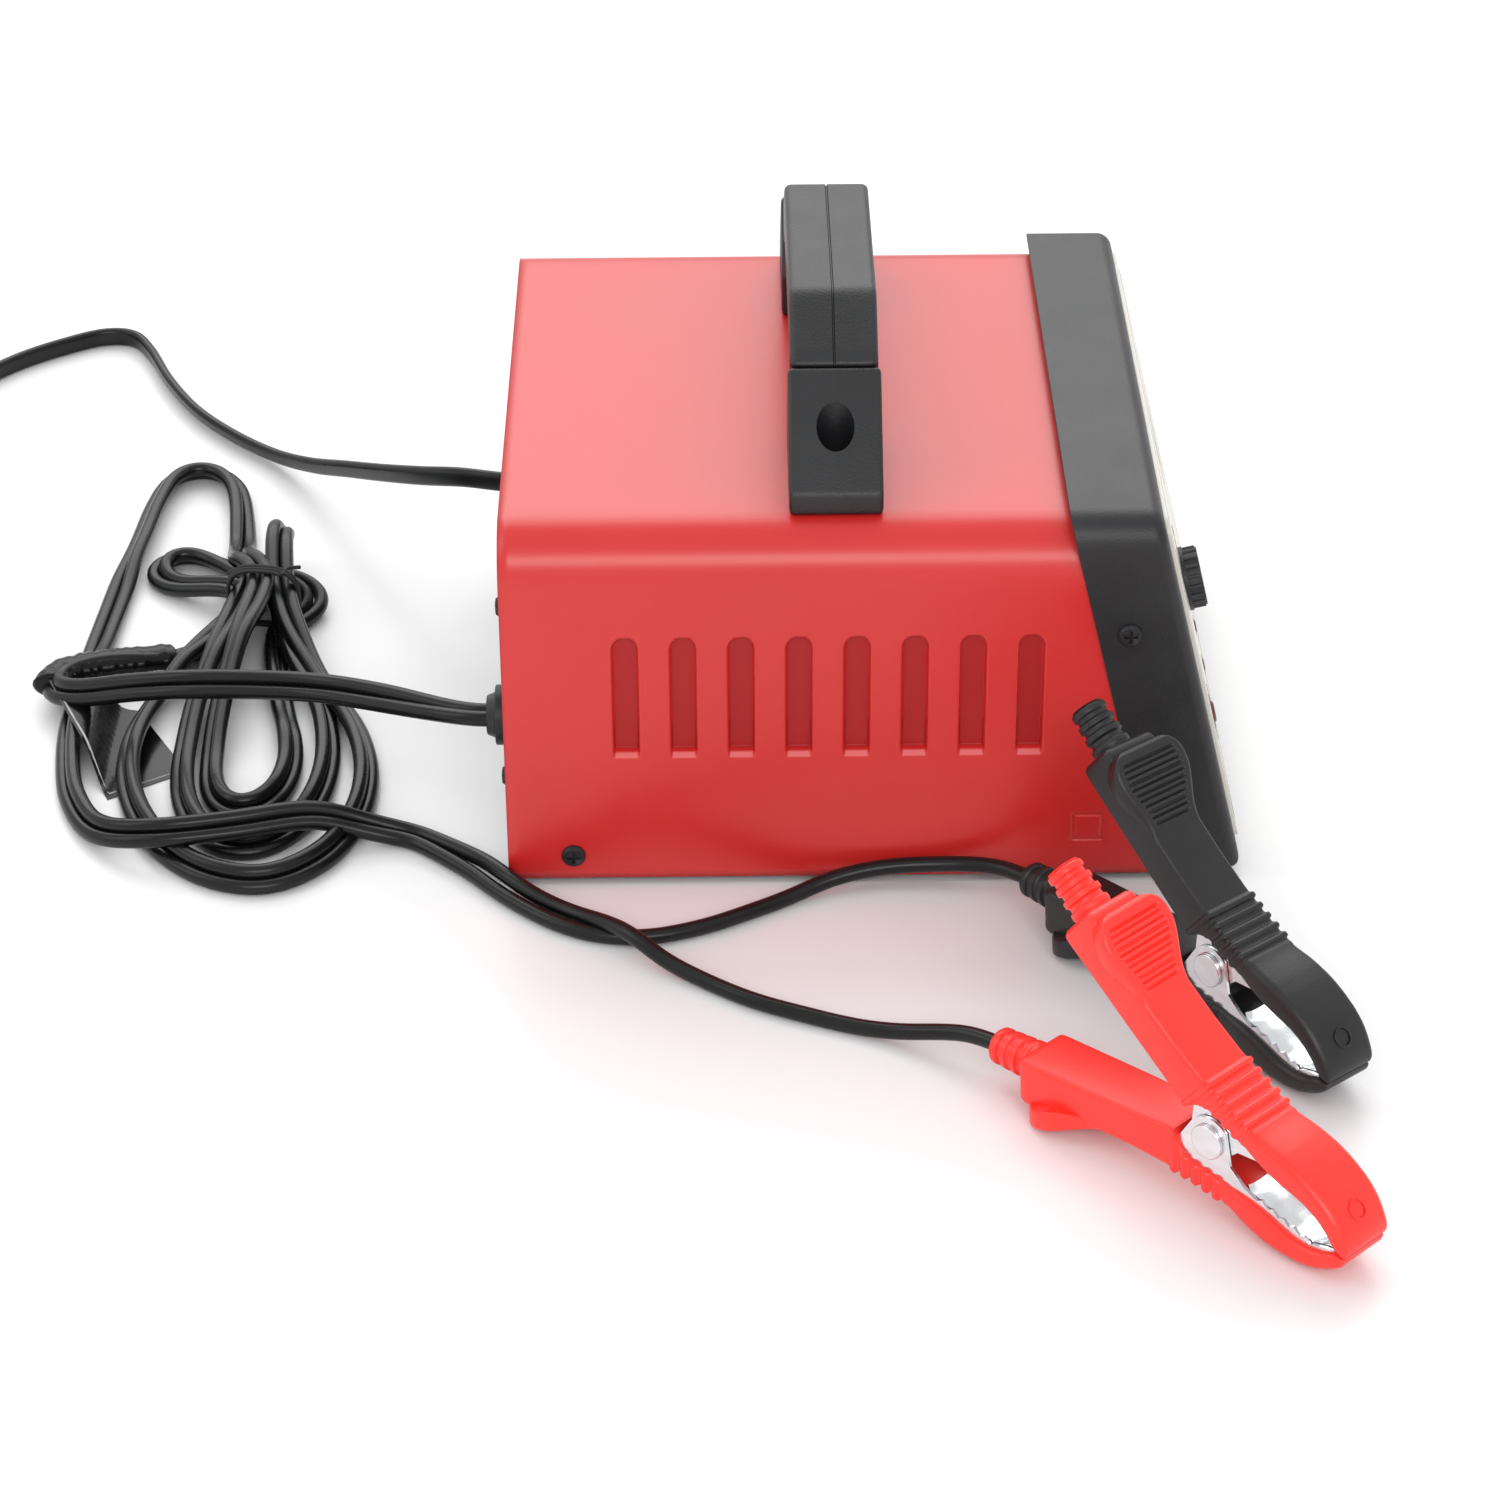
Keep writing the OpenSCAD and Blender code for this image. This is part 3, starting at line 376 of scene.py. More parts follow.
# ---------------------------------------------------------------- clamp lead
LEAD = 5.4
TWIN_STEP, WIRE_STEP, WIRE_SMOOTHING = 3.0, 2.0, 9
WEB_OVERLAP = 0.12
WIRE_Q = 7.6
INSIDE_GRIP = (-86, -70, -50, -34, -20)
HANK_LEAN, LOOP_LEAN = 48, 93
START = [
    (-121, -85, 49), (-130, -84.5, 48.6), (-144, -76, 46), (-166, -57, 40), (-188, -40, 34), (-212, -32, 31),
    (-236, -28, 29), (-258, -18, 22), (-274, -9, 15), (-285, -1, 11), (-289, 9, 9), (-283, 18, 9),
    (-270, 24, 9), (-254, 30, 6), (-241, 38, 4), (-231, 50, 4),
]
TURNS = [
    (-224, 66, 4.2), (-221, 80, 3.6), (-216.5, 97, 3.6), (-214, 107, 8), (-213.5, 109, 14),
    (-213.5, 104, 20.5),
    (-213.5, 94, 22.5), (-212.5, 80, 20.5), (-211, 66, 17),
    (-206, 45, 13.6), (-196, 20, 8), (-182, -8, 3), (-175, -30, 3), (-172, -53, 3), (-174, -78, 3),
    (-183, -102, 3),
    (-200, -117, 3), (-219, -114, 3), (-236, -99, 3), (-249, -75, 3), (-256, -47, 3), (-256, -18, 3.4),
    (-250, 6, 6), (-244, 22, 9.4), (-237, 36, 9.8), (-230, 50, 9.6),
    (-224, 66, 9.6), (-228, 76, 10), (-239, 82, 8), (-250, 87, 5), (-259, 95, 3.4), (-261, 106, 3.2),
    (-252, 113, 3.4),
    (-240, 107, 4.4), (-229, 94, 7), (-218, 80, 9.4), (-211, 66, 9.6),
    (-207, 45, 8.6), (-201, 22, 7), (-193, 2, 5), (-188.5, -18, 4), (-186.5, -40, 3.2), (-188, -62, 3),
    (-194, -82, 3), (-205, -95, 3), (-217, -95, 3), (-227, -85, 3), (-234, -67, 3), (-237, -45, 3.4),
    (-237, -20, 6),
    (-235, 4, 10), (-231, 25, 14.6), (-227, 46, 15),
    (-224, 66, 15), (-221, 77, 14), (-214, 84, 11), (-203, 82, 8), (-199, 73, 5), (-204, 65, 3.4),
    (-210, 58, 3.4),
    (-211, 45, 3.4), (-209, 20, 4), (-205, -5, 4), (-201, -25, 6.5), (-199.5, -42, 3.8), (-202, -60, 3),
    (-210, -72, 3), (-219, -71, 3), (-225, -59, 3), (-227, -42, 4), (-227, -20, 8.4), (-225, 5, 14.6),
    (-222, 26, 20),
    (-219, 46, 20.6),
    (-218, 66, 20.4), (-222, 80, 19), (-227, 92, 15), (-230, 106, 8),
]
RUN = [
    (-231, 122, 3), (-234, 150, 3), (-238, 169, 3), (-246, 181, 3), (-256, 183, 3), (-264, 174, 3),
    (-268, 152, 3),
    (-270, 128, 3),
    (-273, 100, 3), (-275, 72, 3), (-277, 44, 3), (-279, 16, 3), (-280, -12, 3), (-278, -38, 3),
    (-273, -64, 3),
    (-261, -87, 6), (-240, -98, 11.5), (-214, -96, 13), (-188, -88, 12), (-170, -86, 6), (-153, -89, 3),
    (-139, -97.5, 3),
]
RED_LEAD = [
    (-130, -106, 5), (-121, -119.5, 7), (-110, -130, 5), (-98, -139, 4.4), (-87, -149, 7), (-78, -159, 8.6),
    (-67, -169, 5), (-53, -179, 3), (-38, -190, 3), (-22, -198, 3), (-6, -205, 3), (8, -211, 5),
    (20, -217, 9),
    (30, -223, 12),
]
BLACK_LEAD = [
    (-134.5, -110, 3), (-125, -122, 3), (-114, -134, 3), (-101, -145, 3), (-88, -151, 3), (-72, -152, 3),
    (-54, -146, 3), (-40, -138, 3), (-26, -129, 3), (-11, -122, 6), (6, -119.5, 8.6), (22, -119.5, 9.6),
    (36, -122, 11), (46, -127, 12.4),
]
twin = smooth(START + TURNS + RUN, TWIN_STEP)
TIE_Y = 66.0
run_mm = np.arange(len(twin)) * length_of(twin) / (len(twin) - 1)
hank_mm = length_of(smooth(START + TURNS, TWIN_STEP))


def roll_of(mm, y):
    """How far the flat lead leans on its edge: inwards in the hank, the other way in the large loop."""
    lean = HANK_LEAN * eased((mm - 10) / 60) - LOOP_LEAN * eased((mm - hank_mm + 50) / 110)
    lean *= eased((run_mm[-1] - mm) / 70)
    return math.radians(lean) * (1 - 0.85 * eased(1.5 - abs(y - TIE_Y) / 34))


rolls = np.array([roll_of(mm, p[1]) for mm, p in zip(run_mm, twin)])
twin[:, 2] = np.maximum(twin[:, 2], 2.8 + 2.6 * np.abs(np.sin(rolls)))
_, flat_side, twin_top = axes_along(twin)
twin_side = flat_side * np.cos(rolls)[:, None] + twin_top * np.sin(rolls)[:, None]


def conductor(sign, lead, colour):
    """One wire: beside its twin to the split, then on its own into the clamp's lower grip."""
    at, turn, _ = CLAMPS[colour]
    place = clamp_place(at, turn, -1)
    beside = twin + sign * (LEAD / 2 - WEB_OVERLAP) * twin_side
    inside = [place(p, WIRE_Q, 0) for p in INSIDE_GRIP]
    way = smooth([tuple(p) for p in beside[:-4:2]] + lead + inside, WIRE_STEP)
    for _ in range(WIRE_SMOOTHING):
        way[1:-1] = (way[:-2] + 2 * way[1:-1] + way[2:]) / 4
    return way


for cord_name, sign, lead, stands in (
    ("red_lead_cord", -1, RED_LEAD, ("dc_cord_start", "dc_cord_hank", "red_lead")),
    ("black_lead_cord", 1, BLACK_LEAD, ("dc_cord_run", "black_lead")),
):
    way = conductor(sign, lead, cord_name.split("_")[0])
    rings, faces = sweep(way, circle(LEAD / 2))
    piece(cord_name, rings, faces, CORD, slot="cord_black", stands_for=stands)

# ---------------------------------------------------------------- mains cord
MAINS_W, MAINS_T = 7.6, 3.8
COIL_AT, COIL_MID = (-408, 262), 42
COIL_START, COIL_TURN, COIL_STEPS = -18, 5 * 360 + 70, 94
COIL_SPREAD, COIL_LOW, COIL_RISE = 3.9, 4, 7.7
AC_ROUTE = [
    (-120, 85, 49), (-128, 85.5, 48.8), (-144, 95, 46), (-160, 112, 38), (-176, 132, 29), (-192, 153, 20),
    (-208, 174, 11), (-224, 194, 5), (-242, 213, 4), (-259, 235, 4), (-273, 262, 4), (-284, 290, 4),
    (-293, 305, 4), (-306, 307, 4), (-322, 298, 4), (-338, 285, 4), (-352, 268, 4),
]
coil = []
for k in range(COIL_STEPS + 1):
    part = k / COIL_STEPS
    angle = math.radians(COIL_START - COIL_TURN * part)
    spread = 1 - 4 * part if part < 0.5 else -1 + 4 * (part - 0.5)
    climb = min(1.0, max(0.0, (part - 0.46) / 0.08))
    reach = COIL_MID + COIL_SPREAD * spread
    coil.append((COIL_AT[0] + reach * math.cos(angle), COIL_AT[1] + reach * math.sin(angle), COIL_LOW
                 + COIL_RISE * climb))
PLUG_ROUTE = [(-418, 214, 10), (-428, 211, 7.8), (-437, 210, 7)]
mains = smooth(AC_ROUTE + coil + PLUG_ROUTE, 2.5)
flat = [(u * 0.8 if abs(v) < 1.0 else u, v) for u, v in soft_box(MAINS_T, MAINS_W, 1.8, 4)]
mains_run = np.concatenate([[0], np.cumsum(np.linalg.norm(np.diff(mains, axis=0), axis=1))])
mains_tilt = [0.55 * math.sin(min(1.0, max(0.0, (s - 40) / 260)) * math.pi) for s in mains_run]
rings, faces = sweep(mains, flat, tilt=mains_tilt)
MAINS = piece("mains_cord", rings, faces, CORD, slot="cord_black", stands_for=("ac_cord", "ac_coil"))

# ---------------------------------------------------------------- tie and tag on the lead
TIE_AT, TIE_HALF_W, TIE_HALF_H = (-217.5, 65.0, 12.7), 13.2, 11.5
TIE_WRAPS, TIE_STEPS, TIE_PITCH, TIE_SKEW, TIE_WIRE = 2.3, 90, 4.6, 0.16, 0.75
tie_path = []
for k in range(TIE_STEPS + 1):
    a = 2 * math.pi * (0.18 + TIE_WRAPS * k / TIE_STEPS)
    ca, sa = math.cos(a), math.sin(a)
    rx = math.copysign(abs(ca) ** 0.7, ca) * TIE_HALF_W
    rz = math.copysign(abs(sa) ** 0.7, sa) * TIE_HALF_H
    along = TIE_PITCH * (k / TIE_STEPS - 0.5)
    tie_path.append((TIE_AT[0] + rx, TIE_AT[1] - TIE_SKEW * rx + along, TIE_AT[2] + rz))
tie_path = [(-204, 71, 21.5), (-208.5, 68, 22.6)] + tie_path + [(-228, 73, 19.5), (-231.5, 76, 16.5)]
tie_way = smooth(tie_path, 1.0)


def wire(name, way, r, material, n=8, **more):
    """A round wire along any path, with a frame that never flips."""
    t = np.gradient(way, axis=0)
    t /= np.linalg.norm(t, axis=1)[:, None]
    side = np.cross(t[0], [0.3, 0.9, 0.2])
    rings = []
    for i, p in enumerate(way):
        side = side - t[i] * float(side @ t[i])
        side /= np.linalg.norm(side)
        top = np.cross(side, t[i])
        for u, v in circle(r, n):
            rings.append(p + side * u + top * v)
    return piece(name, rings, rings_to_faces(len(way), n), material, **more)


wire("lead_tie", tie_way, TIE_WIRE, RUBBER, slot="cord_black", stands_for=("dc_cord_tie",))

WRAP_HALF_W, WRAP_HALF_H, WRAP_SIDES = 7.6, 5.0, 20
wrap_path = smooth([(-288.5, 6, 9), (-287.5, 13, 9), (-282, 18.6, 9), (-270, 24, 8.4), (-258, 28.6, 7),
                    (-248, 33.4, 5.6)], 0.7)
wrap_size = []
for i in range(len(wrap_path)):
    u = i / (len(wrap_path) - 1)
    ripple = 0.02 * math.sin(i * 1.3) + 0.03 * math.sin(i * 0.47 + 1)
    ripple += 0.03 * math.sin(i * 0.83 + 2 * math.sin(i * 0.21))
    at_end = i in (0, len(wrap_path) - 1)
    wrap_size.append((1 + ripple) * (0.8 if at_end else 0.93) * (1 - 0.12 * u))
wrap_outline = [(WRAP_HALF_W * y, WRAP_HALF_H * z) for y, z in circle(1.0, WRAP_SIDES)]
rings, faces = sweep(wrap_path, wrap_outline, grow=wrap_size)
piece("tag_wrap", rings, faces, TAG, slot="tag_black", stands_for=("cord_tag",))
TAG_REST, TAG_OVER, TAG_CURL = 0.12, 9.8, 2.2
TAG_CORNERS = [np.array(c, float) for c in ((-290, 6), (-258, 3), (-236, -40), (-262, -58))]


def tag_point(u, v, lift=0.0):
    """A point of the tag, u across and v down it: over the lead's outer loop and then on the floor."""
    a, b, c, d = TAG_CORNERS
    x, y = (a * (1 - u) + b * u) * (1 - v) + (d * (1 - u) + c * u) * v
    free = min(1.0, max(0.0, (-259 - x) / 16))
    over = TAG_OVER * eased((-262.5 - x) / 10.5)
    z = TAG_REST + over + TAG_CURL * free * max(0.0, 1 - 1.6 * v) ** 1.4
    return (x, y, z + lift)


COUNT, FILM, LINE_LIFT = 16, 0.22, 0.24
sheet = [tag_point(i / COUNT, j / COUNT, lift) for lift in (0.0, FILM) for j in range(COUNT + 1)
         for i in range(COUNT + 1)]
layer = (COUNT + 1) ** 2
faces = []
for j in range(COUNT):
    for i in range(COUNT):
        a = j * (COUNT + 1) + i
        faces.append((a, a + 1, a + COUNT + 2, a + COUNT + 1))
        faces.append((a + layer, a + layer + COUNT + 1, a + layer + COUNT + 2, a + layer + 1))
rim = list(range(COUNT)) + [COUNT + j * (COUNT + 1) for j in range(COUNT)]
rim += [COUNT * (COUNT + 1) + i for i in range(COUNT, 0, -1)] + [j * (COUNT + 1) for j in range(COUNT, 0, -1)]
for k in range(len(rim)):
    a, b = rim[k], rim[(k + 1) % len(rim)]
    faces.append((a, b, b + layer, a + layer))
piece("tag_flap", sheet, faces, TAG, slot="tag_black", sharp=40)
LINE_SHAPE = [(0.38, 0.06), (-0.38, 0.06), (-0.38, -0.04), (0.38, -0.04)]
edge_line = [tag_point(0.045, v, LINE_LIFT) for v in np.linspace(0.12, 0.955, 18)]
edge_line += [tag_point(u, 0.955, LINE_LIFT) for u in np.linspace(0.08, 0.98, 14)]
rings, faces = sweep(smooth(edge_line, 1.5), LINE_SHAPE)
piece("tag_line", rings, faces, TAG_EDGE, slot="tag_black")

# ---------------------------------------------------------------- sheet-metal cover
REAR, CASE_L, SIDE_Y, BASE_Z, CASE_H, BEND = -119.98, 186.0, 115.5, 3.0, 129.0, 18.0
TAN_LEAN = math.tan(math.radians(13.5))
LOUVRE_X, LOUVRE_PITCH, LOUVRE_HALF, LOUVRE_Z, LOUVRE_H = REAR + 40.6, 19.0, 4.2, 50.0, 45.0
LOUVRES, LOUVRE_DEEP, LOUVRE_SLOPE, LOUVRE_EDGE = 8, 2.7, 0.8, 0.3
# The last value is the depth in millimetres from which recess faces get the painted shade.
LIP_SHARE, LIP_H, LIP_SOFT, PAINTED_SHADE_FROM = 0.36, 1.8, 0.7, 2.4
MARK_X, MARK_Z, MARK_LOW, MARK_HIGH, MARK_DEEP = REAR + 189, BASE_Z + 13, 0.4, 10.1, 0.7
SHEET, LAP = 1.15, 3.4


def dent(x, z):
    """How far the side wall is pressed in at (x, z): louvres and the small square mark."""
    k = min(LOUVRES - 1, max(0, round((x - LOUVRE_X) / LOUVRE_PITCH)))
    u = x - LOUVRE_X - k * LOUVRE_PITCH
    crown = LOUVRE_Z + LOUVRE_H - LOUVRE_HALF
    inside = LOUVRE_HALF - (abs(u) if z < crown else math.hypot(u, z - crown))
    out = 0.0
    if inside > -LOUVRE_EDGE and z > LOUVRE_Z - 0.4:
        deep = LOUVRE_DEEP + LOUVRE_SLOPE * (LOUVRE_Z + LOUVRE_H - z) / LOUVRE_H
        rise = z - LOUVRE_Z + 0.4
        lip = LIP_SHARE * min(1.0, rise / LIP_H)
        lip += (1 - LIP_SHARE) * eased((rise - LIP_H) / LIP_SOFT)
        out = deep * eased((inside + LOUVRE_EDGE) / 0.75) * lip
    a, b = x - MARK_X, z - MARK_Z
    if MARK_LOW - 0.8 < min(a, b) and max(a, b) < MARK_HIGH + 0.8:
        away = min(abs(a - MARK_LOW), abs(a - MARK_HIGH), abs(b - MARK_LOW), abs(b - MARK_HIGH))
        out = max(out, MARK_DEEP * (1 - eased(away / 0.8)))
    return out


LOUVRE_COLUMNS = [-5.1, -4.6, -4.3, -4.0, -3.7, -3.3, -2.6, -1.3, 0.0, 1.3, 2.6, 3.3, 3.7, 4.0, 4.3, 4.6, 5.1]
columns = list(np.arange(REAR, LOUVRE_X - 5.4, 4.0))
for k in range(LOUVRES):
    mid = LOUVRE_X + k * LOUVRE_PITCH
    columns += [mid + u for u in LOUVRE_COLUMNS]
    columns += [mid + 7.4, mid + 11.6] if k < LOUVRES - 1 else []
columns.append(REAR + 183)
STRETCH = 46
LIP_ROWS = [46.0, 46.4, 46.6, 46.8, 47.4, 48.0, 48.3, 48.5, 48.7, 48.9, 49.1, 49.4]
heights = list(np.arange(0, 12, 3.0)) + list(np.arange(12, 25, 0.5)) + list(np.arange(25, 46, 3.0))
heights += LIP_ROWS + list(np.arange(50.4, 86, 3.0)) + list(np.arange(86, 93, 0.45))
heights += list(np.arange(93, CASE_H - BEND, 3.0))
profile = [(-SIDE_Y, BASE_Z + h) for h in heights]
for k in range(13):
    a = math.radians(180 - 90 * k / 12)
    profile.append((-SIDE_Y + BEND + BEND * math.cos(a), BASE_Z + CASE_H - BEND + BEND * math.sin(a)))
profile += [(y, BASE_Z + CASE_H) for y in np.linspace(-SIDE_Y + BEND, 0, 15)[1:]]
profile += [(-y, z) for y, z in profile[-2::-1]]
verts = []
for y, z in profile:
    front = REAR + CASE_L + (CASE_H - (z - BASE_Z)) * TAN_LEAN + LAP
    xs = columns + [columns[-1] + (front - columns[-1]) * k / STRETCH for k in range(1, STRETCH + 1)]
    for x in xs:
        d = dent(x, z) if abs(y) > SIDE_Y - 0.01 else 0.0
        verts.append((x, y - math.copysign(d, y) if d else y, z))
wide = len(columns) + STRETCH
faces = [(i * wide + j, i * wide + j + 1, (i + 1) * wide + j + 1, (i + 1) * wide + j)
         for i in range(len(profile) - 1) for j in range(wide - 1)]
cover = piece("steel_cover", verts, faces, PAINT, slot="red_paint", stands_for=("cover",))
cover.data.materials.append(PAINT_SHADED_RECESS)
# Faces sunk deeper than that depth take the darker red: painted shade in the louvre recesses.
for face in cover.data.polygons:
    spots = [cover.data.vertices[i].co / MM for i in face.vertices]
    depths = [dent(spot.x, spot.z) for spot in spots]
    if abs(face.center.y) > (SIDE_Y - 5) * MM and min(depths) > PAINTED_SHADE_FROM:
        face.material_index = 1
thick = cover.modifiers.new("sheet", "SOLIDIFY")
thick.thickness = SHEET * MM
thick.offset = -1

# ---------------------------------------------------------------- handle grip
TOP_Z, HANDLE_X = 132.0, -9.98
GRIP_W = 29.0
SEAM = ((0.45, 0.0), (0.16, 0.55), (-0.16, 0.55), (-0.45, 0.0))


def corner(a, b, c, reach, count=6):
    """Points of a softened corner at b between a and c."""
    a, b, c = (np.array(p, float) for p in (a, b, c))
    p = b + (a - b) / np.linalg.norm(a - b) * reach
    q = b + (c - b) / np.linalg.norm(c - b) * reach
    return [(1 - t) ** 2 * p + 2 * t * (1 - t) * b + t * t * q for t in np.linspace(0, 1, count)]


outer = corner((68.7, 38.3), (43, 54), (-43, 54), 3.2)
inner = corner((55.7, 24.3), (45, 34), (-45, 34), 4.0)
start_out, start_in = np.array((68.6, 38.4)), np.array((55.8, 24.4))
END_INSETS = ((0.0, 1.5), (0.012, 0.7), (0.035, 0.2), (0.06, 0.0), (0.3, 0.0), (0.6, 0.0), (0.9, 0.0))
stations = []
for t, inset in END_INSETS:
    out_point = start_out + (outer[0] - start_out) * t
    stations.append((out_point, start_in + (inner[0] - start_in) * t, inset))
stations += [(o, n, 0.0) for o, n in zip(outer, inner)]
stations += [(np.array((y, 54.0)), np.array((y, 34.0)), 0.0) for y in (30.0, 15.0, 0.0)]
stations += [(o * (-1, 1), n * (-1, 1), i) for o, n, i in stations[-2::-1]]


def grip_ring(width, depth):
    """A section of the grip, with the seam between its shells as a fine groove above and below."""
    ring = []
    for u, v in soft_box(width, depth, 2.4, 5):
        if ring and ring[-1][0] * u < 0:
            s = 1 if v > 0 else -1
            ring += [(s * x, v - s * cut) for x, cut in SEAM]
        ring.append((u, v))
    return ring


verts, ring_n = [], 0
for out_point, in_point, inset in stations:
    mid, across = (out_point + in_point) / 2, out_point - in_point
    depth = np.linalg.norm(across)
    across = across / depth
    ring = grip_ring(GRIP_W - 2 * inset, depth - 2 * inset)
    ring_n = len(ring)
    for u, v in ring:
        y, z = mid + across * v
        verts.append((HANDLE_X + u, y, TOP_Z + z))
piece("handle_grip", verts, rings_to_faces(len(stations), ring_n), HANDLE, slot="black_plastic", sharp=50,
      stands_for=("handle_grip_front", "handle_grip_rear"))

# ---------------------------------------------------------------- bezel
BEZEL_W, BEZEL_TOP, BEZEL_LOW, BEZEL_D, FRONT_R = 233.0, 137.0, 4.5, 30.0, 4.2
BEZEL_R, BEZEL_LOW_R, OPENING_R, BEZEL_SIDES = 10.5, 2.2, 6.0, 17.5


def arch_outline(w, low, high, r, low_r, n=10):
    """A closed outline (y, z): round corners r above and low_r below, the same count for any size."""
    out = []
    for cy, cz, rad, start in ((w / 2 - r, high - r, r, 0), (-w / 2 + r, high - r, r, 90),
                               (-w / 2 + low_r, low + low_r, low_r, 180),
                               (w / 2 - low_r, low + low_r, low_r, 270)):
        for k in range(n + 1):
            a = math.radians(start + 90 * k / n)
            out.append((cy + rad * math.cos(a), cz + rad * math.sin(a)))
    return out


def bezel_ring(inset, d):
    """The bezel's section d in front of the case's front edge, drawn in by inset."""
    ring = arch_outline(BEZEL_W - 2 * inset, BEZEL_LOW + inset, BEZEL_TOP - inset,
                        max(1.0, BEZEL_R - inset), max(0.6, BEZEL_LOW_R - inset))
    return [(REAR + CASE_L + (CASE_H + BASE_Z - z) * TAN_LEAN + d, y, z) for y, z in ring]


def opening_ring(d):
    """The edge of the front opening; heights are measured up the leaning panel."""
    cos_lean = math.cos(math.radians(13.5))
    low, high = BASE_Z + (7 - 0.25) * cos_lean, BASE_Z + (CASE_H / cos_lean - 0.75) * cos_lean
    ring = arch_outline(BEZEL_W - BEZEL_SIDES, low, high, OPENING_R, OPENING_R)
    return [(REAR + CASE_L + (CASE_H + BASE_Z - z) * TAN_LEAN + d, y, z) for y, z in ring]


rings = [bezel_ring(0.25, 0.0), bezel_ring(0.0, 0.3), bezel_ring(0.0, 13.0),
         bezel_ring(0.0, BEZEL_D - FRONT_R)]
for k in range(1, 8):
    a = math.radians(90 * k / 8)
    rings.append(bezel_ring(FRONT_R * (1 - math.cos(a)), BEZEL_D - FRONT_R * (1 - math.sin(a))))
rings += [bezel_ring(FRONT_R, BEZEL_D), opening_ring(BEZEL_D - 0.02), opening_ring(BEZEL_D - 0.25),
          opening_ring(BEZEL_D - 3.5)]
rings += [bezel_ring(4.2, BEZEL_D - 4.5), bezel_ring(3.0, BEZEL_D - 6.5), bezel_ring(3.0, 5.0),
          bezel_ring(1.2, 4.6), bezel_ring(1.2, 0.0)]
verts = [v for ring in rings for v in ring]
faces = rings_to_faces(len(rings), len(rings[0]), loop=True)
piece("panel_bezel", verts, faces, MOULD, slot="black_plastic", sharp=32, stands_for=("front_bezel",))


# ---------------------------------------------------------------- handle feet
def shrunk(points, inset, reach=1.6, count=5):
    """An outline moved in by inset, with its corners softened."""
    n = len(points)
    pts = [np.array(p, float) for p in points]
    area = sum(pts[i][0] * pts[(i + 1) % n][1] - pts[(i + 1) % n][0] * pts[i][1] for i in range(n))
    moved = []
    for i in range(n):
        a, b, c = pts[i - 1], pts[i], pts[(i + 1) % n]
        e, f = (b - a) / np.linalg.norm(b - a), (c - b) / np.linalg.norm(c - b)
        ne, nf = np.array((-e[1], e[0])), np.array((-f[1], f[0]))
        if area < 0:
            ne, nf = -ne, -nf
        moved.append(b + (ne + nf) / (1 + float(ne @ nf)) * inset)
    out = []
    for i in range(n):
        out += corner(moved[i - 1], moved[i], moved[(i + 1) % n], reach, count)
    return out


FOOT_HALF, BORE_Y, BORE_R, BORE_SIDES, BORE_FROM, BORE_TO = 15.3, 84, 6.2, 40, 5.0, 60.0
FOOT = [(101, 0.02), (101, 7.5), (69, 38), (56, 24), (50, 15), (50, 0.02)]
for side, word in ((-1, "near"), (1, "far")):
    verts, count = [], 0
    rows = [(-FOOT_HALF + x, inset) for x, inset in ((0, 1.5), (0.15, 0.85), (0.45, 0.4), (0.9, 0.1),
                                                     (1.5, 0.0))]
    rows += [(-x, inset) for x, inset in rows[::-1]]
    for x, inset in rows:
        ring = shrunk(FOOT, inset)
        count = len(ring)
        verts += [(HANDLE_X + x, side * y, TOP_Z + z) for y, z in ring]
    foot = piece(f"handle_foot_{word}_body", verts, rings_to_faces(len(rows), count), HANDLE,
                 slot="black_plastic",
                 sharp=40, stands_for=(f"handle_foot_{word}",))
    bore_rings = []
    for z in (BORE_FROM, BORE_TO):
        bore_rings += [(HANDLE_X + x, side * BORE_Y + y, TOP_Z + z) for x, y in circle(BORE_R, BORE_SIDES)]
    bore = piece("bore", bore_rings, rings_to_faces(2, BORE_SIDES), HANDLE)
    cut = foot.modifiers.new("cut", "BOOLEAN")
    cut.operation, cut.object, cut.solver = "DIFFERENCE", bore, "EXACT"
    bpy.context.view_layer.update()
    drilled = bpy.data.meshes.new_from_object(foot.evaluated_get(bpy.context.evaluated_depsgraph_get()))
    drilled.shade_smooth()
    drilled.set_sharp_from_angle(angle=math.radians(40))
    foot.modifiers.clear()
    foot.data = drilled
    bpy.data.objects.remove(bore)

# ---------------------------------------------------------------- battery clamps
RIBS, RIB_FROM, RIB_PITCH, RIB_H = 5, -14.2, 4.05, 0.95
BOOT_Q, BOOT_SIDES, MARK_P, MARK_R, MARK_WIRE = 7.6, 24, 41.5, 3.0, 0.32
TOP_LINE = ([-75, -74, -72, -56, -42, -30, -16, -6, 4, 9, 13, 17, 22, 26, 30, 35, 39, 42, 45, 47.5, 49.4,
             50.6, 51.2],
            [15.4, 16.4, 16.9, 15.5, 14.0, 14.1, 15.0, 16.2, 18.3, 20.3, 22.2, 24.0, 25.7, 26.6, 27.2, 27.5,
             27.1,
             26.5, 25.5, 24.4, 23.2, 22.0, 20.9])
IN_LINE = ([-75, -74, -13, -11, -9, -4, 5, 12, 17, 22, 27, 31, 35, 39, 43, 47.2, 51.2],
           [2.0, 1.0, 1.0, 4.5, 8.0, 9.6, 11.5, 13.0, 14.2, 16.0, 18.1, 19.6, 20.4, 20.6, 20.0, 18.6, 19.6])
HALF_LINE = ([-75, -74.2, -73, -46, -16, 6, 14, 24, 40, 48, 50.4, 51.2],
             [9.2, 10.0, 10.4, 10.4, 10.2, 10.2, 10.9, 11.2, 11.2, 10.8, 10.2, 9.4])
PAD_TOP = ([-71.5, -71.2, -70.6, -69.4, -67.5, -60, -52, -46, -42.5],
           [18.9, 20.2, 21.0, 21.5, 21.5, 19.6, 17.2, 15.2, 14.0])


def line(table, p):
    """The height of a clamp's outline at p along it."""
    return float(np.interp(p, table[0], table[1]))


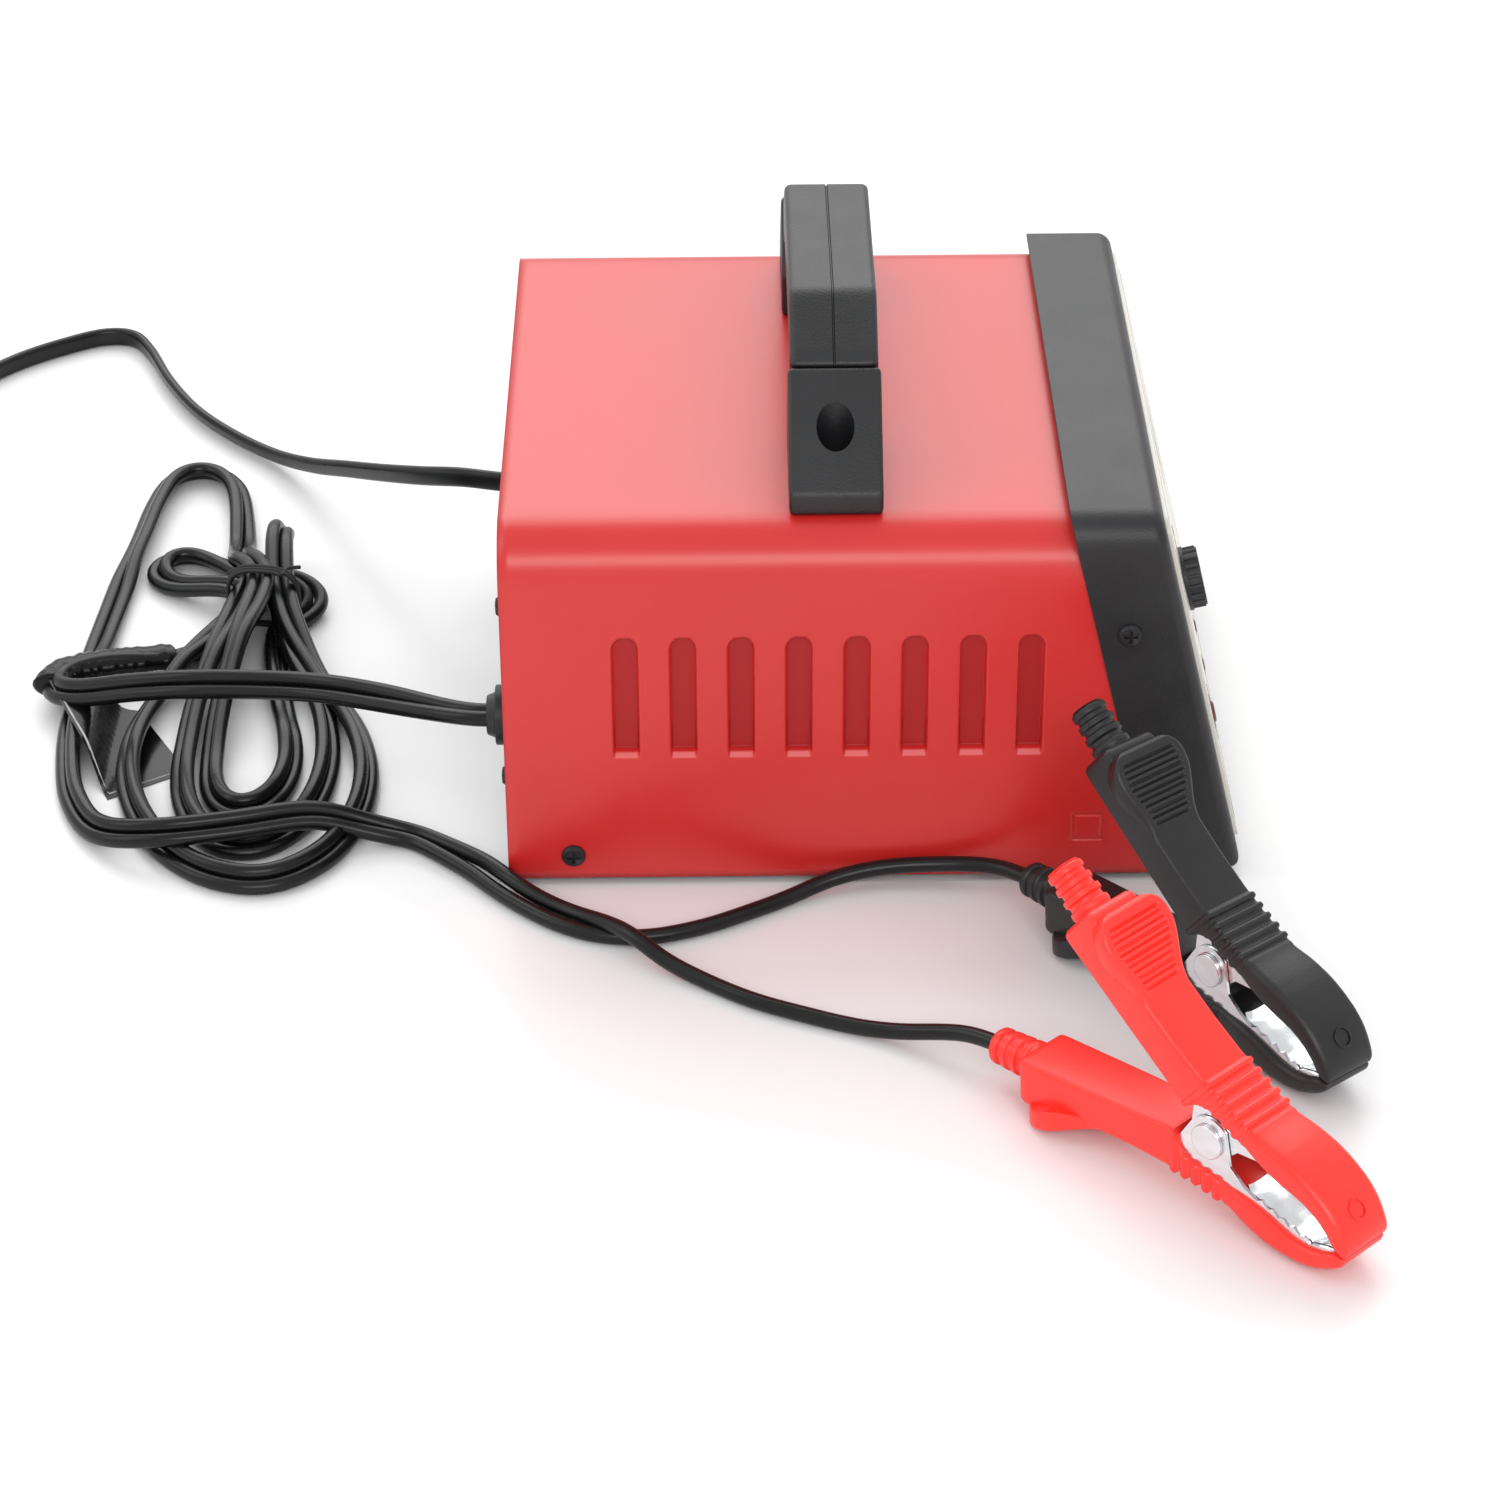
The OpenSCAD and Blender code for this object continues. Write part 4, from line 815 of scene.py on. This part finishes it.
def rib(p):
    """The height of the five raised bands round the neck at p."""
    k = (p - RIB_FROM) / RIB_PITCH
    if not 0 <= k < RIBS:
        return 0.0
    f = k % 1.0
    return RIB_H * eased(f / 0.22) * eased((0.72 - f) / 0.22) if f < 0.72 else 0.0


def grip_shells():
    """Rings of one grip in its own frame: the body, the thumb pad and the boot."""
    shells = []
    body = []
    for p in sorted(set(list(np.arange(-75, -15, 1.5)) + [-74.6, -74.2] + list(np.arange(-15, 7, 0.4))
                        + list(np.arange(7, 50, 1.2)) + [50.0, 50.6, 51.0, 51.2])):
        top, low, half = line(TOP_LINE, p) + rib(p), line(IN_LINE, p), line(HALF_LINE, p) + 0.8 * rib(p)
        r = min(1.7 if p < 8 else 2.4, (top - low) / 2.3)
        ring = [(u, (top + low) / 2 + v + (0.5 * (1 - (u / half) ** 2) if v > 0 and p > 6 else 0))
                for u, v in soft_box(2 * half, top - low, r, 4)]
        body.append([(p, q, y) for y, q in ring])
    shells.append(body)
    pad = []
    for p in np.arange(-71.5, -42.4, 0.3):
        reach = p + 71.5
        half = 14.75 if reach > 9 else 5.75 + math.sqrt(max(0.0, 81 - (9 - reach) ** 2))
        if p > -61.5:
            half = 14.75 - 4.6 * eased((p + 61.5) / 17)
        top = line(PAD_TOP, p)
        low = max(11.8, top - 6.8)
        offsets = [0.0, 0.2, 0.6, 1.3, 2.4, 2.8, 3.3]
        ys = [half - o for o in offsets] + list(np.linspace(half - 4.4, -(half - 4.4), 7))
        ys += [-(half - o) for o in offsets[::-1]]
        ring = [(half - 0.7, low), (half, low + 0.8)]
        f = ((p + 67.2) / 1.98) % 1.0
        groove = eased(abs(f - 0.5) / 0.42) if -67.2 < p < -46.0 else 0.0
        for y in ys:
            rim = half - abs(y)
            q = top - (1.3 - math.sqrt(max(0.0, 1.69 - max(0.0, 1.3 - rim) ** 2)))
            if rim > 2.4 and -67.2 < p < -46.0:
                q -= 0.85 * (1 - groove) * eased((rim - 2.4) / 0.9) - 0.1
            ring.append((y, q))
        ring += [(-half, low + 0.8), (-half + 0.7, low)]
        pad.append([(p, q, y) for y, q in ring])
    shells.append(pad)
    boot = []
    rows = [(-89.0, 0.4), (-89.0, 3.0), (-91.6, 3.1), (-92.0, 3.6), (-92.0, 4.9), (-91.7, 5.3)]
    for p in np.arange(-91.4, -73.9, 0.35):
        f = ((p + 91.4) / 4.3) % 1.0
        band = eased(f / 0.12) * eased((0.66 - f) / 0.12) if f < 0.66 else 0.0
        rows.append((p, 5.1 + 0.045 * (p + 91.4) + (0.9 * band if p < -76 else 0.6)))
    for p, r in rows:
        boot.append([(p, BOOT_Q + q, y) for y, q in circle(r, BOOT_SIDES)])
    shells.append(boot)
    return shells


def clamp_mark():
    """The fine raised circle on the clamp's nose."""
    ring = []
    for a in range(28):
        w = 2 * math.pi * a / 28
        row = []
        for b in range(8):
            e = 2 * math.pi * b / 8
            reach = MARK_R + MARK_WIRE * math.cos(e)
            p, y = MARK_P + reach * math.cos(w), reach * math.sin(w)
            row.append((p, line(TOP_LINE, p) + 0.5 * (1 - (y / 11) ** 2) + 0.05 + 0.3 * math.sin(e), y))
        ring.append(row)
    return ring


def jaw_liner():
    """The curved bright steel lining of one jaw, as rings round a thin bowed strip."""
    rings = []
    for p in np.arange(12.5, 47.0, 0.75):
        base = line(IN_LINE, p)
        half = 7.4 if p > 15 else 5.5 + 1.9 * (p - 12.5) / 2.5
        ys = np.linspace(-half, half, 9)
        tooth = 0.5 * abs(((p / 3.0) % 1.0) - 0.5) if p > 40 else 0.0
        upper = [(p, base - 0.35 - 0.9 * (y / half) ** 2 - tooth, y) for y in ys]
        lower = [(p, base + 0.7 - 0.9 * (y / half) ** 2, y) for y in ys[::-1]]
        rings.append(upper + lower)
    return rings


def shells_to_piece(name, shells, place, material, loops=(), **more):
    """One piece from several shells of rings, placed in the shared frame; loops close on themselves."""
    verts, faces = [], []
    for k, rings in enumerate(shells):
        base = len(verts)
        verts += [place(*point) for ring in rings for point in ring]
        faces += [tuple(base + i for i in f)
                  for f in rings_to_faces(len(rings), len(rings[0]), loop=k in loops)]
    return piece(name, verts, faces, material, **more)


for colour, (at, turn, vinyl) in CLAMPS.items():
    for half, side, body in (("upper", 1, f"{colour}_clamp_top"), ("lower", -1, "charger")):
        place = clamp_place(at, turn, side)
        shells_to_piece(f"{colour}_{half}_handle", grip_shells() + [clamp_mark()], place, vinyl, loops=(3,),
                        body=body,
                        slot=f"{colour}_grip", sharp=48, stands_for=(f"{colour}_{half}_grip",))
        shells_to_piece(f"{colour}_{half}_liner", [jaw_liner()], place, BRIGHT, body=body,
                        slot="bright_steel", sharp=40)

# ---------------------------------------------------------------- printed marks on the panel and dial
LEAN = math.radians(13.5)
FACE_X = REAR + CASE_L + CASE_H * TAN_LEAN + BEZEL_D
PLATE_TOP, CARD_TOP = 1.2, -6.6
PIVOT, KNOB, BREAKER, LAMPS = (32, 70), (-53, 80), (-66, 34), ((-20, 42), (-20, 26))
SWEEP = 96.0
INK_SUNK, INK_PROUD = 0.08, 0.05
SCALE_R, NUMBER_R, KNOB_TICKS, KNOB_NUMBER_R = (26.6, 27.0), 29.9, (12.6, 15.4), 19.0


def panel_point(y, s, out):
    """A point y across, s up the slope and out from the panel."""
    return (FACE_X - s * math.sin(LEAN) + out * math.cos(LEAN), y, BASE_Z + s * math.cos(LEAN)
            + out * math.sin(LEAN))


class Print:
    """Flat printed marks, each a thin closed shape sunk a little into its surface."""

    def __init__(self, level):
        self.level, self.verts, self.faces = level, [], []

    def strip(self, left, right, closed=False):
        """A mark between two lines of points."""
        base, n = len(self.verts), len(left)
        for a, b in zip(left, right):
            self.verts += [panel_point(*a, self.level - INK_SUNK), panel_point(*b, self.level - INK_SUNK),
                           panel_point(*b, self.level + INK_PROUD), panel_point(*a, self.level + INK_PROUD)]
        self.faces += [tuple(base + i for i in f) for f in rings_to_faces(n, 4, loop=closed)]

    def arc(self, centre, inner, outer, low=-180.0, high=180.0):
        """A ring or part of one, with angles in degrees from straight up."""
        closed = high - low >= 360
        steps = max(6, int(abs(high - low) / 5))
        turns = [math.radians(low + (high - low) * k / steps) for k in range(steps if closed else steps + 1)]
        ends = [[(centre[0] + r * math.sin(t), centre[1] + r * math.cos(t)) for t in turns]
                for r in (inner, outer)]
        self.strip(*ends, closed=closed)

    def tick(self, centre, inner, outer, angle, width):
        """A straight mark that points at the centre."""
        t = math.radians(angle)
        across = (math.cos(t) * width / 2, -math.sin(t) * width / 2)
        ends = [(centre[0] + r * math.sin(t), centre[1] + r * math.cos(t)) for r in (inner, outer)]
        self.strip([(y - across[0], s - across[1]) for y, s in ends],
                   [(y + across[0], s + across[1]) for y, s in ends])

    def number(self, text, at, size):
        """A plain number, centred on a point."""
        curve = bpy.data.curves.new("number", "FONT")
        curve.body, curve.size = text, size
        curve.align_x, curve.align_y = "CENTER", "CENTER"
        curve.extrude, curve.resolution_u = 0.06, 4
        drawn = bpy.data.objects.new("number", curve)
        bpy.context.scene.collection.objects.link(drawn)
        bpy.context.view_layer.update()
        shape = bpy.data.meshes.new_from_object(drawn.evaluated_get(bpy.context.evaluated_depsgraph_get()))
        base = len(self.verts)
        self.verts += [panel_point(at[0] + v.co.x, at[1] + v.co.y, self.level + v.co.z)
                       for v in shape.vertices]
        self.faces += [tuple(base + i for i in f.vertices) for f in shape.polygons]
        bpy.data.objects.remove(drawn)
        bpy.data.meshes.remove(shape)
        bpy.data.curves.remove(curve)

    def make(self, name):
        """The marks drawn so far, as one piece."""
        piece(name, self.verts, self.faces, INK, slot="black_plastic", sharp=20)


dial = Print(CARD_TOP)
dial.arc(PIVOT, *SCALE_R, -SWEEP / 2, SWEEP / 2)
for k in range(21):
    tick_from = 24.2 if k % 4 == 0 else 25.0 if k % 2 == 0 else 25.7
    dial.tick(PIVOT, tick_from, 26.8, SWEEP * (k / 20 - 0.5), 0.5 if k % 4 == 0 else 0.3)
for k in range(6):
    t = math.radians(SWEEP * (k / 5 - 0.5))
    dial.number(str(2 * k), (PIVOT[0] + NUMBER_R * math.sin(t), PIVOT[1] + NUMBER_R * math.cos(t)), 4.2)
dial.arc(PIVOT, 3.6, 3.9)
dial.make("dial_scale")

marks = Print(PLATE_TOP)
for angle, text in ((-60, "2"), (0, "6"), (60, "10")):
    marks.tick(KNOB, *KNOB_TICKS, angle, 0.8)
    t = math.radians(angle)
    spot = (KNOB[0] + KNOB_NUMBER_R * math.sin(t), KNOB[1] + KNOB_NUMBER_R * math.cos(t))
    marks.number(text, spot, 5.5)
marks.arc(KNOB, 13.8, 14.2, -60, 60)
marks.arc(BREAKER, 9.4, 9.8)
for lamp in LAMPS:
    marks.arc(lamp, 3.7, 4.0)
frame_in, frame_out = [arch_outline(2 * half, low, high, r, r)
                       for half, low, high, r in ((102.5, 12, 126.5, 4.0), (103.1, 11.4, 127.1, 4.6))]
marks.strip(frame_in, frame_out, closed=True)
marks.make("panel_marks")

# ---------------------------------------------------------------- stage
floor_material = surface("floor_white", (0.86, 0.86, 0.865), rough=0.3, vary=0.01, scale=2, bump=0.0,
                         grain=10,
                         specular=0.3)
floor_mesh = bpy.data.meshes.new("floor")
FLOOR_HALF, SKY = 6, 0.8
floor_corners = [(x * FLOOR_HALF, y * FLOOR_HALF, 0) for x, y in ((-1, -1), (1, -1), (1, 1), (-1, 1))]
floor_mesh.from_pydata(floor_corners, [], [(0, 1, 2, 3)])
floor_mesh.materials.append(floor_material)
floor = bpy.data.objects.new("floor", floor_mesh)
bpy.context.scene.collection.objects.link(floor)

world = bpy.data.worlds.new("studio")
world.use_nodes = True
world.node_tree.nodes["Background"].inputs["Color"].default_value = (1.0, 1.0, 1.0, 1)
world.node_tree.nodes["Background"].inputs["Strength"].default_value = SKY
bpy.context.scene.world = world
bpy.context.scene.view_settings.view_transform = "Standard"


def softbox(name, at, towards, size, power):
    """A rectangular lamp of power watts at a point, turned towards another."""
    data = bpy.data.lights.new(name, "AREA")
    data.shape = "RECTANGLE"
    data.size, data.size_y = size
    data.energy = power
    lamp = bpy.data.objects.new(name, data)
    lamp.location = at
    lamp.rotation_euler = (Vector(towards) - Vector(at)).to_track_quat("-Z", "Y").to_euler()
    bpy.context.scene.collection.objects.link(lamp)


softbox("key", (-0.2, 2.0, 2.0), (0, 0, 0.1), (3.2, 2.4), 50)
softbox("front", (0.1, -2.3, 1.45), (0, -0.1, 0.05), (2.0, 0.8), 24)
softbox("side", (-2.0, -0.2, 1.4), (0, 0, 0.05), (1.0, 1.4), 6)


# ---------------------------------------------------------------- finishes of carried-over nodes
WELD_GAP, FLAT_WITHIN, BEVEL_FROM = 0.00002, math.radians(1.0), math.radians(35)


def finish_node(names, material, bevel, segments=2):
    """Gives nodes a finish and, unless bevel is 0, softened edges of that many millimetres."""
    for name in names:
        obj = NODES[name]
        if not obj.material_slots:
            obj.data.materials.append(material)
        for s in obj.material_slots:
            s.material = material
        if bevel:
            merge = obj.modifiers.new("merge", "WELD")
            merge.merge_threshold = WELD_GAP
            flatten = obj.modifiers.new("flatten", "DECIMATE")
            flatten.decimate_type = "DISSOLVE"
            flatten.angle_limit = FLAT_WITHIN
            edge = obj.modifiers.new("edge", "BEVEL")
            edge.width = bevel * MM
            edge.segments = segments
            edge.limit_method = "ANGLE"
            edge.angle_limit = BEVEL_FROM
            edge.use_clamp_overlap = True
            even = obj.modifiers.new("even", "WEIGHTED_NORMAL")
            even.weight = 60


finish_node(["base_tray", "rear_panel"], BLACK_PAINT, 0)
finish_node(["face_plate"], PLATE, 0.5)
finish_node(["ammeter_case"], METER, 0.3)
finish_node(["ammeter_dial"], CARD, 0.1)
finish_node(["ammeter_needle"], NEEDLE, 0.1)
finish_node(["ammeter_lens"], LENS, 0.6, 3)
finish_node(["selector_knob"], MOULD, 0.5, 3)
finish_node(["selector_shaft", "handle_screws", "board_posts", "transformer_bolts"], STEEL, 0.3)
finish_node(["selector_switch", "breaker_body"], CHIP, 0.4)
finish_node(["indicator_leds"], LED, 0.2)
finish_node(["breaker_button"], BUTTON, 0.4)
finish_node(["transformer_core"], CORE, 0.5)
finish_node(["transformer_bobbin"], BOBBIN, 0.3)
finish_node(["primary_winding", "secondary_winding"], COPPER, 1.0, 3)
finish_node(["transformer_frame", "rectifier_diodes"], STEEL, 0.3)
finish_node(["heat_sink"], SINK, 0.3)
finish_node(["circuit_board"], BOARD, 0.2)
finish_node(["board_parts"], CHIP, 0.5)
finish_node(["rubber_feet"], RUBBER, 0.6, 3)
finish_node(["case_screws"], SCREW, 0.25)
finish_node(["dc_bushing", "ac_bushing"], MOULD, 0.5, 3)
finish_node(["ac_plug"], MOULD, 2.0, 4)
finish_node(["plug_blades"], BRASS, 0.3)
finish_node(["red_lower_jaw", "red_upper_jaw", "black_lower_jaw", "black_upper_jaw"], BRIGHT, 0.25)
finish_node(["red_rivet", "black_rivet"], BRIGHT, 0.6, 3)
finish_node(["red_spring", "black_spring"], SPRING, 0)
finish_node(["ac_coil_tie"], RUBBER, 0.6, 3)

# ---------------------------------------------------------------- clamp parts
clamp = {
    c: [NODES[f"{c}_{n}"] for n in ("lower_jaw", "upper_jaw", "rivet", "spring")]
    + [bpy.data.objects[f"{c}_{h}_{n}"] for h in ("lower", "upper") for n in ("handle", "liner")]
    for c in ("red", "black")
}
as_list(clamp["red"])
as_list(clamp["black"])
